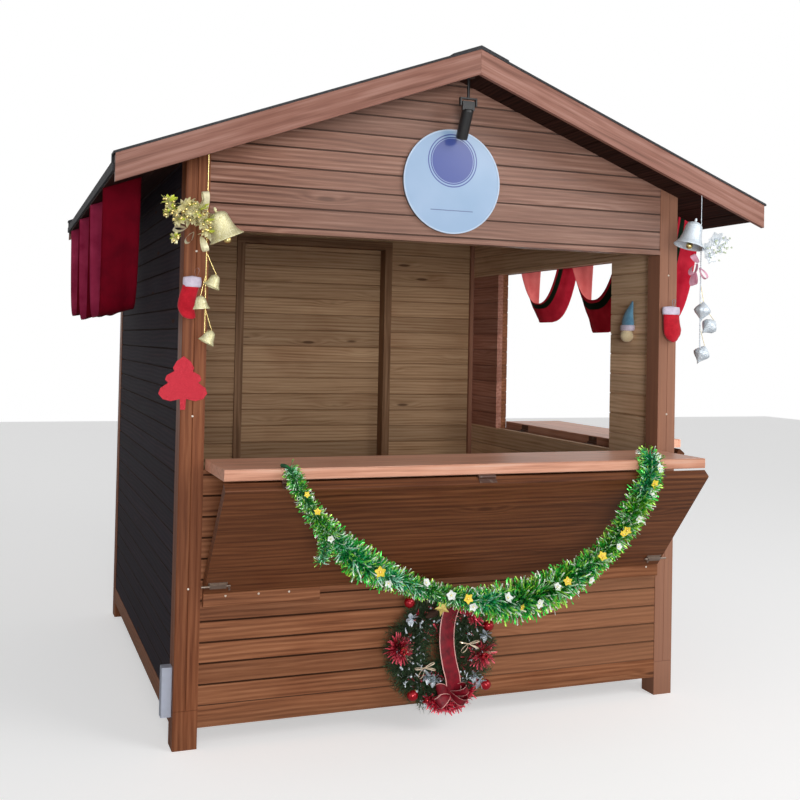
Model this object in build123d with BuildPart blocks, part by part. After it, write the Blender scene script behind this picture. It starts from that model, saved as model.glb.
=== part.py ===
from build123d import *
import math
import os

# Market hut in timber. Millimetres, +Z up, front faces -Y.
# Hut measures: x runs 0..hut_w along the front, y runs 0..hut_d to the back.

hut_w = 2200.0
hut_d = 2100.0
post = 92.0
post_ease = 3.0
seam_w = 3.0
seam_d = 2.5
seat = 0.3

# heights above the ground
rail_low = 78.0
rail_top = 158.0
foot_top = 146.0
floor_t = 22.0
sill_z = 1042.0
head_z = 1950.0

# sill rails and joists
rail_set = 1.0
rail_w = 110.0
joist_t = 44.0
joists = 3
floor_board = 90.0

# walls: outer boards a little behind the post faces, inner boards level inside
wall_set = 3.0
wall_t = 66.0
wall_in = wall_set + wall_t
board_out = 78.5
board_in = 94.5
head_board = 102.0
groove_w = 7.0
groove_d = 5.0
head_lip = 3.0
head_lip_h = 14.0

# roof
roof_slope = 0.3796
soffit_top = 2628.0
deck_t = 34.0
deck_board = 100.0
eave_over = 281.0
front_over = 236.0
rear_over = 110.0
barge_t = 20.0
barge_top = 2694.0
barge_h = 99.0
verge_w = 40.0
felt_t = 8.0
felt_lip = 4.0
drip_t = 8.0
drip_h = 26.0
ridge_arm = 120.0
ridge_t = 5.0

# serving flaps: a level leaf at the sill and a leaf that leans back to the wall
leaf_t = 40.0
leaf_ease = 3.0
shelf_reach = 350.0
shelf_in = 5.0
shelf_clear = 7.0
lean_out = 376.0
lean_top = 1011.0
lean_foot = 582.0
lean_back = 2.5
ledger_t = 28.0
ledger_h = 50.0
ledger_len = 453.0
side_ledger = 300.0
side_from = 432.0
side_to = hut_d - side_from

# butt hinges of the flaps and the bolts at their lower corners
butt_len = 72.0
butt_t = 2.3
butt_r = 5.5
butt_w = 32.0
fold_at = 11.0
bolt_r = 4.0
bolt_len = 92.0
bolt_up = 50.0
bolt_past = 16.0

# door in the back wall
door_l = 680.0
door_r = 1540.0
door_top = 2095.0
jamb_t = 30.0
casing_w = 45.0
casing_t = 18.0
door_lap = 10.0
door_gap = 5.0
door_foot = 12.0
door_t = 38.0
hinge_off = 14.0
hinge_r = 9.0
pin_r = 5.0
pin_gap = 0.3
strap_len = 420.0
strap_t = 5.0
knuckle_h = 36.0
hinge_levels = (480.0, 1780.0)
handle_in = 75.0
handle_z = 1160.0
handle_h = 150.0

# sign and lamp
sign_x = 1085.0
sign_z = 2201.0
sign_r = 215.0
sign_t = 15.0
sign_rim = 6.0
lamp_y = -120.0
lamp_knee_z = 2505.0
lamp_r = 24.0
lamp_len = 125.0
lamp_tilt = 28.0
lamp_hang = 22.0
knee_r = 3.5
rod_r = 6.0
fork_half = 34.0
rose_r = 26.0
rose_h = 10.0

# cloth strips under the eaves, three loops to a side
swag_in = 140.0
swag_out = 281.0
swag_t = 3.0
swag_low = {"left": 1645.0, "right": 1765.0}
swag_lean = {"left": 0.25, "right": 1.05}
swag_first = {"left": 190.0, "right": 40.0}
swag_period = 608.0
swag_gap = 40.0
swag_turn = 260.0

# wreath on the front wall
wreath_x = 1075.0
wreath_z = 290.0
wreath_big = 165.0
wreath_small = 55.0
wreath_sides = 12

# strings of bells under the front bargeboards
string_d = 3.0
string_in = 42.0
bell_h = 118.0
bell_r = 64.0
bell_t = 2.5
bell_off = 32.0
bell_sides = 8
jingle_r = 27.0
leaf_len = 120.0
leaf_w = 34.0
spray_t = 2.0

# tinsel garland from end to end of the front counter
garland_d = 14.0
garland_off = 42.0

# plaque on the front post, small box on the side of the same post
plaque_x = 8.0
plaque_z = 1268.0
plaque_h = 200.0
plaque_w = 187.0
plaque_t = 6.0
box_w = 40.0
box_d = 46.0
box_h = 185.0
box_z = 120.0

# slope of the leaning leaf, from its seat on the ledger up to its outer corner
lean_in = ledger_t - wall_set
lean_face = math.hypot(lean_out - lean_in, lean_top - lean_foot)
run = (lean_out - lean_in) / lean_face
fall = (lean_top - lean_foot) / lean_face
lean_tip = lean_out - leaf_ease * run

# the ground point under the middle of the whole box is the origin
box_left = -eave_over - drip_t
box_right = hut_w + lean_tip
box_front = -lean_tip
box_back = hut_d + rear_over + felt_lip
x_mid = (box_left + box_right) / 2
y_mid = (box_front + box_back) / 2
mid = hut_w / 2

steep = math.sqrt(1 + roof_slope**2)
deck_up = deck_t * steep
felt_up = felt_t * steep


def soffit(x):
    return soffit_top - roof_slope * abs(x - mid)


def barge(x):
    return barge_top - roof_slope * abs(x - mid)


def block(x0, x1, y0, y1, z0, z1, mode=Mode.ADD):
    with Locations(((x0 + x1) / 2 - x_mid, (y0 + y1) / 2 - y_mid, (z0 + z1) / 2)):
        Box(x1 - x0, y1 - y0, z1 - z0, mode=mode)


def outline_on(plane, points):
    with BuildSketch(plane) as outline:
        with BuildLine():
            Polyline(*points, close=True)
        make_face()
    return outline.sketch


def along_y(points, y0, y1, mode=Mode.ADD):
    # outline in x and z, carried from y0 to y1
    plane = Plane(origin=(-x_mid, y1 - y_mid, 0), x_dir=(1, 0, 0), z_dir=(0, -1, 0))
    extrude(outline_on(plane, points), amount=y1 - y0, mode=mode)


def along_x(points, x0, x1, mode=Mode.ADD):
    # outline in y and z, carried from x0 to x1
    plane = Plane(origin=(x0 - x_mid, -y_mid, 0), x_dir=(0, 1, 0), z_dir=(1, 0, 0))
    extrude(outline_on(plane, points), amount=x1 - x0, mode=mode)


def upwards(points, z0, z1, mode=Mode.ADD):
    # outline in x and y, carried from z0 to z1
    plane = Plane(origin=(-x_mid, -y_mid, z0))
    extrude(outline_on(plane, points), amount=z1 - z0, mode=mode)


def rod_x(y, z, radius, x0, x1, mode=Mode.ADD):
    with Locations(((x0 + x1) / 2 - x_mid, y - y_mid, z)):
        Cylinder(radius, x1 - x0, rotation=(0, 90, 0), mode=mode)


def rod_y(x, z, radius, y0, y1, mode=Mode.ADD):
    with Locations((x - x_mid, (y0 + y1) / 2 - y_mid, z)):
        Cylinder(radius, y1 - y0, rotation=(90, 0, 0), mode=mode)


def rod_z(x, y, radius, z0, z1, mode=Mode.ADD):
    with Locations((x - x_mid, y - y_mid, (z0 + z1) / 2)):
        Cylinder(radius, z1 - z0, mode=mode)


def joints_between(low, high, start, pitch):
    # heights of the board joints that fall inside a wall
    count = int((high - start) / pitch) + 2
    levels = [start + k * pitch for k in range(-1, count)]
    return [z for z in levels if low + 12 < z < high - 12]


def notched(fixed, low, high, joints, into):
    # one face of a boarded wall, from low to high, with a V groove at each joint
    face = [(fixed, low)]
    for z in joints:
        face += [(fixed, z - groove_w / 2), (fixed + into, z), (fixed, z + groove_w / 2)]
    return face + [(fixed, high)]


def board_section(outside, way, low, top_out, top_in, out_from, in_from):
    # section of a boarded wall; way is 1 where the inside lies at greater x or y
    inside = outside + way * wall_t
    outer = notched(outside, low, top_out,
                    joints_between(low, min(top_out, top_in), out_from, board_out),
                    way * groove_d)
    inner = notched(inside, low, top_in,
                    joints_between(low, min(top_out, top_in), in_from, board_in),
                    -way * groove_d)
    return outer + inner[::-1]


os.makedirs("parts", exist_ok=True)
pieces = []


def keep(builder, label):
    builder.part.label = label
    export_step(builder.part, f"parts/{label}.step")
    pieces.append(label)


# corner posts on their square feet, with the seam of the two panels down each outer face
corners = {
    "post_front_left": (0.0, 0.0, 1, 1),
    "post_front_right": (hut_w, 0.0, -1, 1),
    "post_rear_left": (0.0, hut_d, 1, -1),
    "post_rear_right": (hut_w, hut_d, -1, -1),
}
half = post / 2
plain_plan = [(post_ease, 0), (post, 0), (post, post), (0, post), (0, post_ease)]
seamed_plan = [(post_ease, 0), (half - seam_w / 2, 0), (half, seam_d), (half + seam_w / 2, 0),
               (post, 0), (post, post), (0, post), (0, half + seam_w / 2), (seam_d, half),
               (0, half - seam_w / 2), (0, post_ease)]
neck_plan = [(seam_d, seam_d), (post, seam_d), (post, post), (seam_d, post)]
for label, (cx, cy, sx, sy) in corners.items():
    with BuildPart() as corner_post:
        for plan, z0, z1 in ((plain_plan, 0, foot_top - 1), (neck_plan, foot_top - 1, foot_top + 1),
                             (seamed_plan, foot_top + 1, soffit_top)):
            upwards([(cx + sx * u, cy + sy * v) for u, v in plan], z0, z1)
        x0, x1 = sorted((cx, cx + sx * post))
        along_y([(x0, 0), (x1, 0), (x1, soffit(x1) - seat), (x0, soffit(x0) - seat)],
                0, hut_d, Mode.INTERSECT)
    keep(corner_post, label)

# sill rails all round with joists under the floor, cut from one plan
bay_w = (hut_w - 2 * rail_w - joists * joist_t) / (joists + 1)
bay_d = hut_d - 2 * rail_w
with BuildPart() as base_frame:
    with BuildSketch(Plane(origin=(mid - x_mid, hut_d / 2 - y_mid, rail_low))) as rails:
        Rectangle(hut_w - 2 * rail_set, hut_d - 2 * rail_set)
        with GridLocations(hut_w - post, hut_d - post, 2, 2):
            Rectangle(post, post, mode=Mode.SUBTRACT)
        with GridLocations(bay_w + joist_t, 0, joists + 1, 1):
            Rectangle(bay_w, bay_d, mode=Mode.SUBTRACT)
    extrude(rails.sketch, amount=rail_top - rail_low)
keep(base_frame, "base_frame")

floor_top = rail_top + floor_t
floor_joints = [wall_in + k * floor_board
                for k in range(1, int((hut_d - 2 * wall_in - 20) / floor_board) + 1)]
floor_face = [(wall_in, floor_top)]
for gy in floor_joints:
    floor_face += [(gy - groove_w / 2, floor_top), (gy, floor_top - groove_d),
                   (gy + groove_w / 2, floor_top)]
floor_face += [(hut_d - wall_in, floor_top), (hut_d - wall_in, rail_top), (wall_in, rail_top)]
with BuildPart() as floor:
    along_x(floor_face, wall_in, hut_w - wall_in)
    for cx, cy, sx, sy in corners.values():
        x0, x1 = sorted((cx, cx + sx * (post + seat)))
        y0, y1 = sorted((cy, cy + sy * (post + seat)))
        block(x0, x1, y0, y1, rail_top - 1, floor_top + 1, Mode.SUBTRACT)
    for jx in (door_l - jamb_t, door_r):
        block(jx - seat, jx + jamb_t + seat, hut_d - wall_in - casing_t - seat, hut_d,
              rail_top - 1, floor_top + 1, Mode.SUBTRACT)
keep(floor, "floor")

# boarded walls
with BuildPart() as front_lower_wall:
    along_x(board_section(wall_set, 1, rail_top, sill_z, sill_z, rail_top + board_out,
                          floor_top + board_in), post, hut_w - post)
keep(front_lower_wall, "front_lower_wall")


def under_roof(x0, x1, z0):
    # what lies between x0 and x1 from z0 up to the soffit
    ridge = [(mid, soffit(mid) - seat)] if x0 < mid < x1 else []
    return [(x0, z0), (x1, z0), (x1, soffit(x1) - seat)] + ridge + [(x0, soffit(x0) - seat)]


with BuildPart() as front_gable_wall:
    along_x(board_section(wall_set, 1, head_z, soffit_top, soffit_top, head_z + head_board,
                          head_z + board_in), post, hut_w - post)
    block(post, hut_w - post, wall_set - head_lip, wall_set + 1, head_z, head_z + head_lip_h)
    along_y(under_roof(post, hut_w - post, head_z), -front_over, post, Mode.INTERSECT)
keep(front_gable_wall, "front_gable_wall")

with BuildPart() as left_wall:
    along_y(board_section(wall_set, 1, rail_top, soffit(wall_set) - seat, soffit(wall_in) - seat,
                          rail_top + board_out, floor_top + board_in), post, hut_d - post)
keep(left_wall, "left_wall")

# the right wall in the pieces around its serving opening
right_out = hut_w - wall_set
right_parts = {
    "right_wall_lower": (rail_top, sill_z, post, hut_d - post),
    "right_wall_front": (sill_z, head_z, post, side_from),
    "right_wall_rear": (sill_z, head_z, side_to, hut_d - post),
    "right_wall_over": (head_z, None, post, hut_d - post),
}
for label, (z0, z1, y0, y1) in right_parts.items():
    top_out = z1 if z1 else soffit(right_out) - seat
    top_in = z1 if z1 else soffit(hut_w - wall_in) - seat
    with BuildPart() as right_part:
        along_y(board_section(right_out, -1, z0, top_out, top_in, rail_top + board_out,
                              floor_top + board_in), y0, y1)
    keep(right_part, label)

# back wall: beside and over the door
back_out = hut_d - wall_set
back_in = hut_d - wall_in
frame_l = door_l - jamb_t
frame_r = door_r + jamb_t
frame_top = door_top + jamb_t
back_parts = {
    "back_wall_left": (post, frame_l, rail_top),
    "back_wall_right": (frame_r, hut_w - post, rail_top),
    "back_wall_over": (frame_l, frame_r, frame_top),
}
for label, (x0, x1, z0) in back_parts.items():
    with BuildPart() as back_part:
        along_x(board_section(back_out, -1, z0, soffit_top, soffit_top, rail_top + board_out,
                              floor_top + board_in), x0, x1)
        along_y(under_roof(x0, x1, z0), back_in - 1, back_out + 1, Mode.INTERSECT)
    keep(back_part, label)

# door frame with a flat casing on the inside and a threshold
with BuildPart() as door_frame:
    along_y([(frame_l, rail_top), (frame_l, frame_top), (frame_r, frame_top),
             (frame_r, rail_top), (door_r, rail_top), (door_r, door_top), (door_l, door_top),
             (door_l, rail_top)], back_in - casing_t, hut_d)
    block(frame_l, frame_r, back_in + seat, hut_d, rail_top, floor_top)
    cas_l = door_l - casing_w
    cas_r = door_r + casing_w
    cas_top = door_top + casing_w
    along_y([(cas_l, floor_top), (cas_l, cas_top), (cas_r, cas_top), (cas_r, floor_top),
             (door_r, floor_top), (door_r, door_top), (door_l, door_top), (door_l, floor_top)],
            back_in - casing_t, back_in - seat)
keep(door_frame, "door_frame")

# boarded door that opens outwards
leaf_l = door_l - door_lap
leaf_r = door_r + door_lap
leaf_y0 = hut_d + door_gap
leaf_y1 = leaf_y0 + door_t
leaf_low = rail_top + door_foot
leaf_high = door_top + door_lap
with BuildPart() as door_leaf:
    inner_face = notched(leaf_y0, leaf_low, leaf_high,
                         joints_between(leaf_low, leaf_high, floor_top + board_in, board_in),
                         groove_d)
    outer_face = notched(leaf_y1, leaf_low, leaf_high,
                         joints_between(leaf_low, leaf_high, rail_top + board_out, board_out),
                         -groove_d)
    along_x(inner_face + outer_face[::-1], leaf_l, leaf_r)
keep(door_leaf, "door_leaf")

# strap hinges: strap and knuckle on the door, plate, two knuckles and pin on the frame
hinge_x = leaf_l - hinge_off
hinge_y = leaf_y1 + strap_t
knuckle_gap = 5.0
with BuildPart() as door_straps:
    for level in hinge_levels:
        along_y([(hinge_x, level - knuckle_h / 2), (hinge_x + strap_len - 30, level - 10),
                 (hinge_x + strap_len, level), (hinge_x + strap_len - 30, level + 10),
                 (hinge_x, level + knuckle_h / 2)], leaf_y1, leaf_y1 + strap_t)
        rod_z(hinge_x, hinge_y, hinge_r, level - knuckle_h / 2, level + knuckle_h / 2)
        rod_z(hinge_x, hinge_y, pin_r + pin_gap, level - knuckle_h, level + knuckle_h,
              Mode.SUBTRACT)
keep(door_straps, "door_straps")

frame_knuckle = 28.0
with BuildPart() as door_hinges:
    for level in hinge_levels:
        block(frame_l - 60, hinge_x - hinge_r - 5, hut_d, hut_d + strap_t, level - 60, level + 60)
        for side in (-1, 1):
            zc = level + side * (knuckle_h / 2 + knuckle_gap + frame_knuckle / 2)
            z0, z1 = zc - frame_knuckle / 2, zc + frame_knuckle / 2
            block(hinge_x - hinge_r - 8, hinge_x, hut_d, hinge_y, z0, z1)
            rod_z(hinge_x, hinge_y, hinge_r, z0, z1)
        rod_z(hinge_x, hinge_y, pin_r, level - knuckle_h / 2 - knuckle_gap - 7,
              level + knuckle_h / 2 + knuckle_gap + 7)
keep(door_hinges, "door_hinges")

with BuildPart() as door_handle:
    hx = leaf_r - handle_in
    with BuildSketch(Plane(origin=(hx - x_mid, leaf_y1 - y_mid, handle_z), x_dir=(-1, 0, 0),
                           z_dir=(0, 1, 0))) as back_plate:
        RectangleRounded(44, handle_h + 70, 10)
    extrude(back_plate.sketch, amount=6)
    for side in (-1, 1):
        zz = handle_z + side * handle_h / 2
        block(hx - 7, hx + 7, leaf_y1 + 5, leaf_y1 + 42, zz - 7, zz + 7)
    block(hx - 9, hx + 9, leaf_y1 + 38, leaf_y1 + 50, handle_z - handle_h / 2 - 14,
          handle_z + handle_h / 2 + 14)
keep(door_handle, "door_handle")

# roof decks, the battens along each verge, the bargeboards on their ends
deck_y0 = -front_over + barge_t
deck_y1 = hut_d + rear_over - barge_t
slopes = (("left", -1), ("right", 1))
for hand, side in slopes:
    inner = mid + side * seat
    outer = mid + side * (mid + eave_over)
    under = [(inner, soffit(inner))]
    for k in range(1, int((mid + eave_over - 20) / deck_board) + 1):
        gx = mid + side * k * deck_board
        for off, up in ((-groove_w / 2, 0), (0, groove_d), (groove_w / 2, 0)):
            under.append((gx + side * off, soffit(gx + side * off) + up))
    under.append((outer, soffit(outer)))
    with BuildPart() as deck:
        along_y(under + [(outer, soffit(outer) + deck_up), (inner, soffit(inner) + deck_up)],
                deck_y0, deck_y1)
    keep(deck, f"roof_deck_{hand}")

with BuildPart() as verge_battens:
    for hand, side in slopes:
        inner = mid + side * seat
        outer = mid + side * (mid + eave_over)
        batten = [(inner, soffit(inner) + deck_up + seat), (outer, soffit(outer) + deck_up + seat),
                  (outer, barge(outer)), (inner, barge(inner))]
        for y0 in (deck_y0, deck_y1 - verge_w):
            along_y(batten, y0, y0 + verge_w)
keep(verge_battens, "verge_battens")

for end, y0 in (("front", -front_over), ("rear", hut_d + rear_over - barge_t)):
    with BuildPart() as barge_boards:
        for hand, side in slopes:
            inner = mid + side * seat
            outer = mid + side * (mid + eave_over)
            along_y([(inner, barge(inner)), (outer, barge(outer)),
                     (outer, barge(outer) - barge_h), (inner, barge(inner) - barge_h)],
                    y0, y0 + barge_t)
    keep(barge_boards, f"bargeboards_{end}")

# felt on the decks, turned up over the battens, with a strip down each eave
felt_y0 = -front_over - felt_lip
felt_y1 = hut_d + rear_over + felt_lip
lift = deck_up + seat
for hand, side in slopes:
    inner = mid + side * seat
    lip = mid + side * (mid + eave_over + drip_t)
    with BuildPart() as roofing:
        along_y([(inner, soffit(inner) + lift), (lip, soffit(lip) + lift),
                 (lip, soffit(lip) + lift + felt_up), (inner, soffit(inner) + lift + felt_up)],
                deck_y0 + verge_w + seat, deck_y1 - verge_w - seat)
    keep(roofing, f"roofing_{hand}")

with BuildPart() as verge_felt:
    for hand, side in slopes:
        inner = mid + side * seat
        lip = mid + side * (mid + eave_over + drip_t)
        over = [(inner, barge(inner) + seat), (lip, barge(lip) + seat),
                (lip, barge(lip) + seat + felt_up), (inner, barge(inner) + seat + felt_up)]
        turn = [(inner, soffit(inner) + lift + felt_up + seat),
                (lip, soffit(lip) + lift + felt_up + seat),
                (lip, barge(lip) + seat + felt_up), (inner, barge(inner) + seat + felt_up)]
        front_turn = deck_y0 + verge_w + seat
        rear_turn = deck_y1 - verge_w - seat
        along_y(over, felt_y0, front_turn + felt_t)
        along_y(turn, front_turn, front_turn + felt_t)
        along_y(over, rear_turn - felt_t, felt_y1)
        along_y(turn, rear_turn - felt_t, rear_turn)
keep(verge_felt, "verge_felt")

with BuildPart() as eave_drips:
    for hand, side in slopes:
        edge = mid + side * (mid + eave_over + seat)
        lip = mid + side * (mid + eave_over + drip_t)
        top = soffit(lip) + lift - seat
        along_y([(edge, top), (lip, top), (lip, top - drip_h), (edge, top - drip_h)],
                deck_y0, deck_y1)
keep(eave_drips, "eave_drips")

with BuildPart() as ridge_cap:
    low = barge_top + seat + felt_up + seat
    drop = roof_slope * ridge_arm
    along_y([(mid - ridge_arm, low - drop), (mid, low), (mid + ridge_arm, low - drop),
             (mid + ridge_arm, low - drop + ridge_t), (mid, low + ridge_t * steep),
             (mid - ridge_arm, low - drop + ridge_t)], felt_y0, felt_y1)
keep(ridge_cap, "ridge_cap")

# serving flaps, front and right, drawn in reach from the wall face and height
back_top = (lean_out - leaf_t * fall, lean_top + leaf_t * run)
wall_touch = -lean_back
back_low = back_top[1] - (back_top[0] - wall_touch) * fall / run
lean_outline = [
    (lean_out - leaf_ease * run, lean_top - leaf_ease * fall),
    (lean_out - leaf_ease * fall, lean_top + leaf_ease * run),
    (back_top[0] + leaf_ease * fall, back_top[1] - leaf_ease * run),
    (back_top[0] - leaf_ease * run, back_top[1] - leaf_ease * fall),
    (wall_touch, back_low), (wall_touch, lean_foot), (lean_in, lean_foot)]
shelf_top = sill_z + leaf_t
shelf_outline = [
    (shelf_reach - leaf_ease, sill_z), (shelf_reach, sill_z + leaf_ease),
    (shelf_reach, shelf_top - leaf_ease), (shelf_reach - leaf_ease, shelf_top),
    (-shelf_in + leaf_ease, shelf_top), (-shelf_in, shelf_top - leaf_ease), (-shelf_in, sill_z)]
shelf_l = post + shelf_clear
shelf_r = hut_w - post - shelf_clear
side_l = side_from + shelf_clear
side_r = side_to - shelf_clear


def at_front(outline, x0, x1, mode=Mode.ADD):
    along_x([(-reach, z) for reach, z in outline], x0, x1, mode)


def at_side(outline, y0, y1, mode=Mode.ADD):
    along_y([(hut_w + reach, z) for reach, z in outline], y0, y1, mode)


with BuildPart() as counter_front:
    at_front(shelf_outline, shelf_l, shelf_r)
keep(counter_front, "counter_front")

with BuildPart() as counter_right:
    at_side(shelf_outline, side_l, side_r)
keep(counter_right, "counter_right")

with BuildPart() as drop_leaf_front:
    at_front(lean_outline, shelf_l, shelf_r)
keep(drop_leaf_front, "drop_leaf_front")

with BuildPart() as drop_leaf_right:
    at_side(lean_outline, side_l, side_r)
keep(drop_leaf_right, "drop_leaf_right")

ledger_top = lean_foot - seat
ledger_outline = [(-wall_set, ledger_top), (lean_in - leaf_ease, ledger_top),
                  (lean_in, ledger_top - leaf_ease), (lean_in, ledger_top - ledger_h + leaf_ease),
                  (lean_in - leaf_ease, ledger_top - ledger_h), (-wall_set, ledger_top - ledger_h)]
with BuildPart() as ledgers:
    at_front(ledger_outline, shelf_l, shelf_l + ledger_len)
    at_front(ledger_outline, shelf_r - ledger_len, shelf_r)
    at_side(ledger_outline, side_l, side_l + side_ledger)
    at_side(ledger_outline, side_r - side_ledger, side_r)
keep(ledgers, "ledgers")

# butt hinges at the sill: one plate on the wall top, one on the leaf's inner edge
sill_at = shelf_in + seat
sill_plates = [
    (-sill_at, sill_z + seat), (-sill_at - butt_w, sill_z + seat),
    (-sill_at - butt_w, sill_z + seat + butt_t), (-sill_at - butt_t, sill_z + seat + butt_t),
    (-sill_at - butt_t, shelf_top - leaf_ease - 1), (-sill_at, shelf_top - leaf_ease - 1)]
# butt hinges at the fold: one plate under the level leaf, one on the leaning leaf's top edge
face = seat + butt_t
fold_c = (back_top[0] + fold_at * fall + (butt_r + seat) * run,
          back_top[1] - fold_at * run + (butt_r + seat) * fall)
lean_plate = [
    (back_top[0] + leaf_ease * fall + seat * run, back_top[1] - leaf_ease * run + seat * fall),
    (back_top[0] + leaf_ease * fall + face * run, back_top[1] - leaf_ease * run + face * fall),
    (lean_out - leaf_ease * fall + face * run, lean_top + leaf_ease * run + face * fall),
    (lean_out - leaf_ease * fall + seat * run, lean_top + leaf_ease * run + seat * fall)]
under_plate = [(fold_c[0], sill_z - seat), (fold_c[0] - butt_w, sill_z - seat),
               (fold_c[0] - butt_w, sill_z - face), (fold_c[0], sill_z - face)]
front_at = [shelf_l + (shelf_r - shelf_l) * share for share in (0.12, 0.5, 0.88)]
side_at = [side_l + (side_r - side_l) * share for share in (0.2, 0.8)]
with BuildPart() as sill_hinges:
    for c in front_at:
        at_front(sill_plates, c - butt_len / 2, c + butt_len / 2)
        rod_x(sill_at + butt_r, sill_z + seat + butt_r, butt_r, c - butt_len / 2,
              c + butt_len / 2)
    for c in side_at:
        at_side(sill_plates, c - butt_len / 2, c + butt_len / 2)
        rod_y(hut_w - sill_at - butt_r, sill_z + seat + butt_r, butt_r, c - butt_len / 2,
              c + butt_len / 2)
keep(sill_hinges, "sill_hinges")

with BuildPart() as fold_hinges:
    for c in front_at:
        at_front(lean_plate, c - butt_len / 2, c + butt_len / 2)
        at_front(under_plate, c - butt_len / 2, c + butt_len / 2)
        rod_x(-fold_c[0], fold_c[1], butt_r, c - butt_len / 2, c + butt_len / 2)
    for c in side_at:
        at_side(lean_plate, c - butt_len / 2, c + butt_len / 2)
        at_side(under_plate, c - butt_len / 2, c + butt_len / 2)
        rod_y(hut_w + fold_c[0], fold_c[1], butt_r, c - butt_len / 2, c + butt_len / 2)
keep(fold_hinges, "fold_hinges")

# barrel bolts across the lower corners of the front leaf
bolt_reach = lean_in + bolt_up * run
bolt_z = lean_foot + bolt_up * fall
with BuildPart() as leaf_bolts:
    for end_x, way in ((shelf_l, 1), (shelf_r, -1)):
        on_leaf = Plane(origin=(end_x + way * bolt_len / 2 - x_mid, -bolt_reach - y_mid, bolt_z),
                        x_dir=(1, 0, 0), z_dir=(0, -fall, -run))
        with Locations(on_leaf.offset(seat)):
            Box(bolt_len - 20, 28, 2, align=(Align.CENTER, Align.CENTER, Align.MIN))
        with Locations(on_leaf.offset(seat + 1 + bolt_r + 2.5)):
            Box(bolt_len - 30, 2 * bolt_r + 5, 2 * bolt_r + 5)
            with Locations((-way * bolt_past / 2, 0, 0)):
                Cylinder(bolt_r, bolt_len + bolt_past, rotation=(0, 90, 0))
            with Locations((way * (bolt_len / 2 - 6), 0, 8)):
                Box(6, 6, 20)
keep(leaf_bolts, "leaf_bolts")

# round sign on the gable, turned with a low rim
with BuildPart() as sign_disc:
    sign_plane = Plane(origin=(sign_x - x_mid, wall_set - y_mid, sign_z), x_dir=(1, 0, 0),
                       z_dir=(0, 0, 1))
    with BuildSketch(sign_plane) as section:
        with BuildLine():
            Polyline((0, 0), (sign_r, 0), (sign_r, -sign_t), (sign_r - sign_rim, -sign_t),
                     (sign_r - sign_rim, -sign_t + 1.5), (0, -sign_t + 1.5), close=True)
        make_face()
    revolve(section.sketch, axis=Axis((sign_x - x_mid, 0, sign_z), (0, 1, 0)))
keep(sign_disc, "sign_disc")

# lamp bracket under the ridge: seat block, rose, rod and a fork with its cross bolt
rose_top = soffit_top - rose_r * roof_slope - 1
with BuildPart() as lamp_rod:
    along_y([(mid - 10, soffit(mid - 10) - seat), (mid, soffit(mid) - seat),
             (mid + 10, soffit(mid + 10) - seat), (mid + 10, rose_top - 2),
             (mid - 10, rose_top - 2)], lamp_y - 10, lamp_y + 10)
    rod_z(mid, lamp_y, rose_r, rose_top - rose_h, rose_top)
    rod_z(mid, lamp_y, rod_r, lamp_knee_z + 16, rose_top - 1)
    along_y([(mid - fork_half - 3, lamp_knee_z - 12), (mid - fork_half - 3, lamp_knee_z + 20),
             (mid + fork_half + 3, lamp_knee_z + 20), (mid + fork_half + 3, lamp_knee_z - 12),
             (mid + fork_half - 3, lamp_knee_z - 12), (mid + fork_half - 3, lamp_knee_z + 14),
             (mid - fork_half + 3, lamp_knee_z + 14), (mid - fork_half + 3, lamp_knee_z - 12)],
            lamp_y - 8, lamp_y + 8)
    rod_x(lamp_y, lamp_knee_z, knee_r, mid - fork_half - 3, mid + fork_half + 3)
keep(lamp_rod, "lamp_rod")

# lamp body turned about its own axis, then set at its tilt
with BuildPart() as turned:
    with BuildSketch(Plane.XZ) as section:
        with BuildLine():
            Polyline((0, 0), (lamp_r - 5, 0), (lamp_r, 8), (lamp_r, lamp_len),
                     (lamp_r - 3, lamp_len), (lamp_r - 3, lamp_len - 14), (0, lamp_len - 14),
                     close=True)
        make_face()
    revolve(section.sketch, axis=Axis.Z)
lean = math.radians(lamp_tilt)
head_plane = Plane(origin=(mid - x_mid, lamp_y - y_mid, lamp_knee_z - lamp_hang),
                   x_dir=(1, 0, 0), z_dir=(0, math.sin(lean), -math.cos(lean)))
with BuildPart() as lamp_head:
    add(turned.part.moved(Location(head_plane)))
    block(mid - 26, mid + 26, lamp_y - 7, lamp_y + 7, lamp_knee_z - lamp_hang - 8,
          lamp_knee_z + 6)
    rod_x(lamp_y, lamp_knee_z, knee_r + pin_gap, mid - 30, mid + 30, Mode.SUBTRACT)
keep(lamp_head, "lamp_head")

# cloth strips hung in loops under the eaves, the outer edge lower than the inner
loop_half = (swag_period - swag_gap) / 2


def loop_outline(c, bottom):
    outline = []
    for wide, low, way in ((loop_half, bottom, 1), (loop_half - swag_t, bottom + swag_t, -1)):
        side = [(-wide, soffit_top), (-wide, low + swag_turn),
                (-0.78 * wide, low + 0.29 * swag_turn), (-0.4 * wide, low)]
        line = side + [(-u, z) for u, z in side[::-1]]
        outline += line[::way]
    return [(c + u, z) for u, z in outline]


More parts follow.
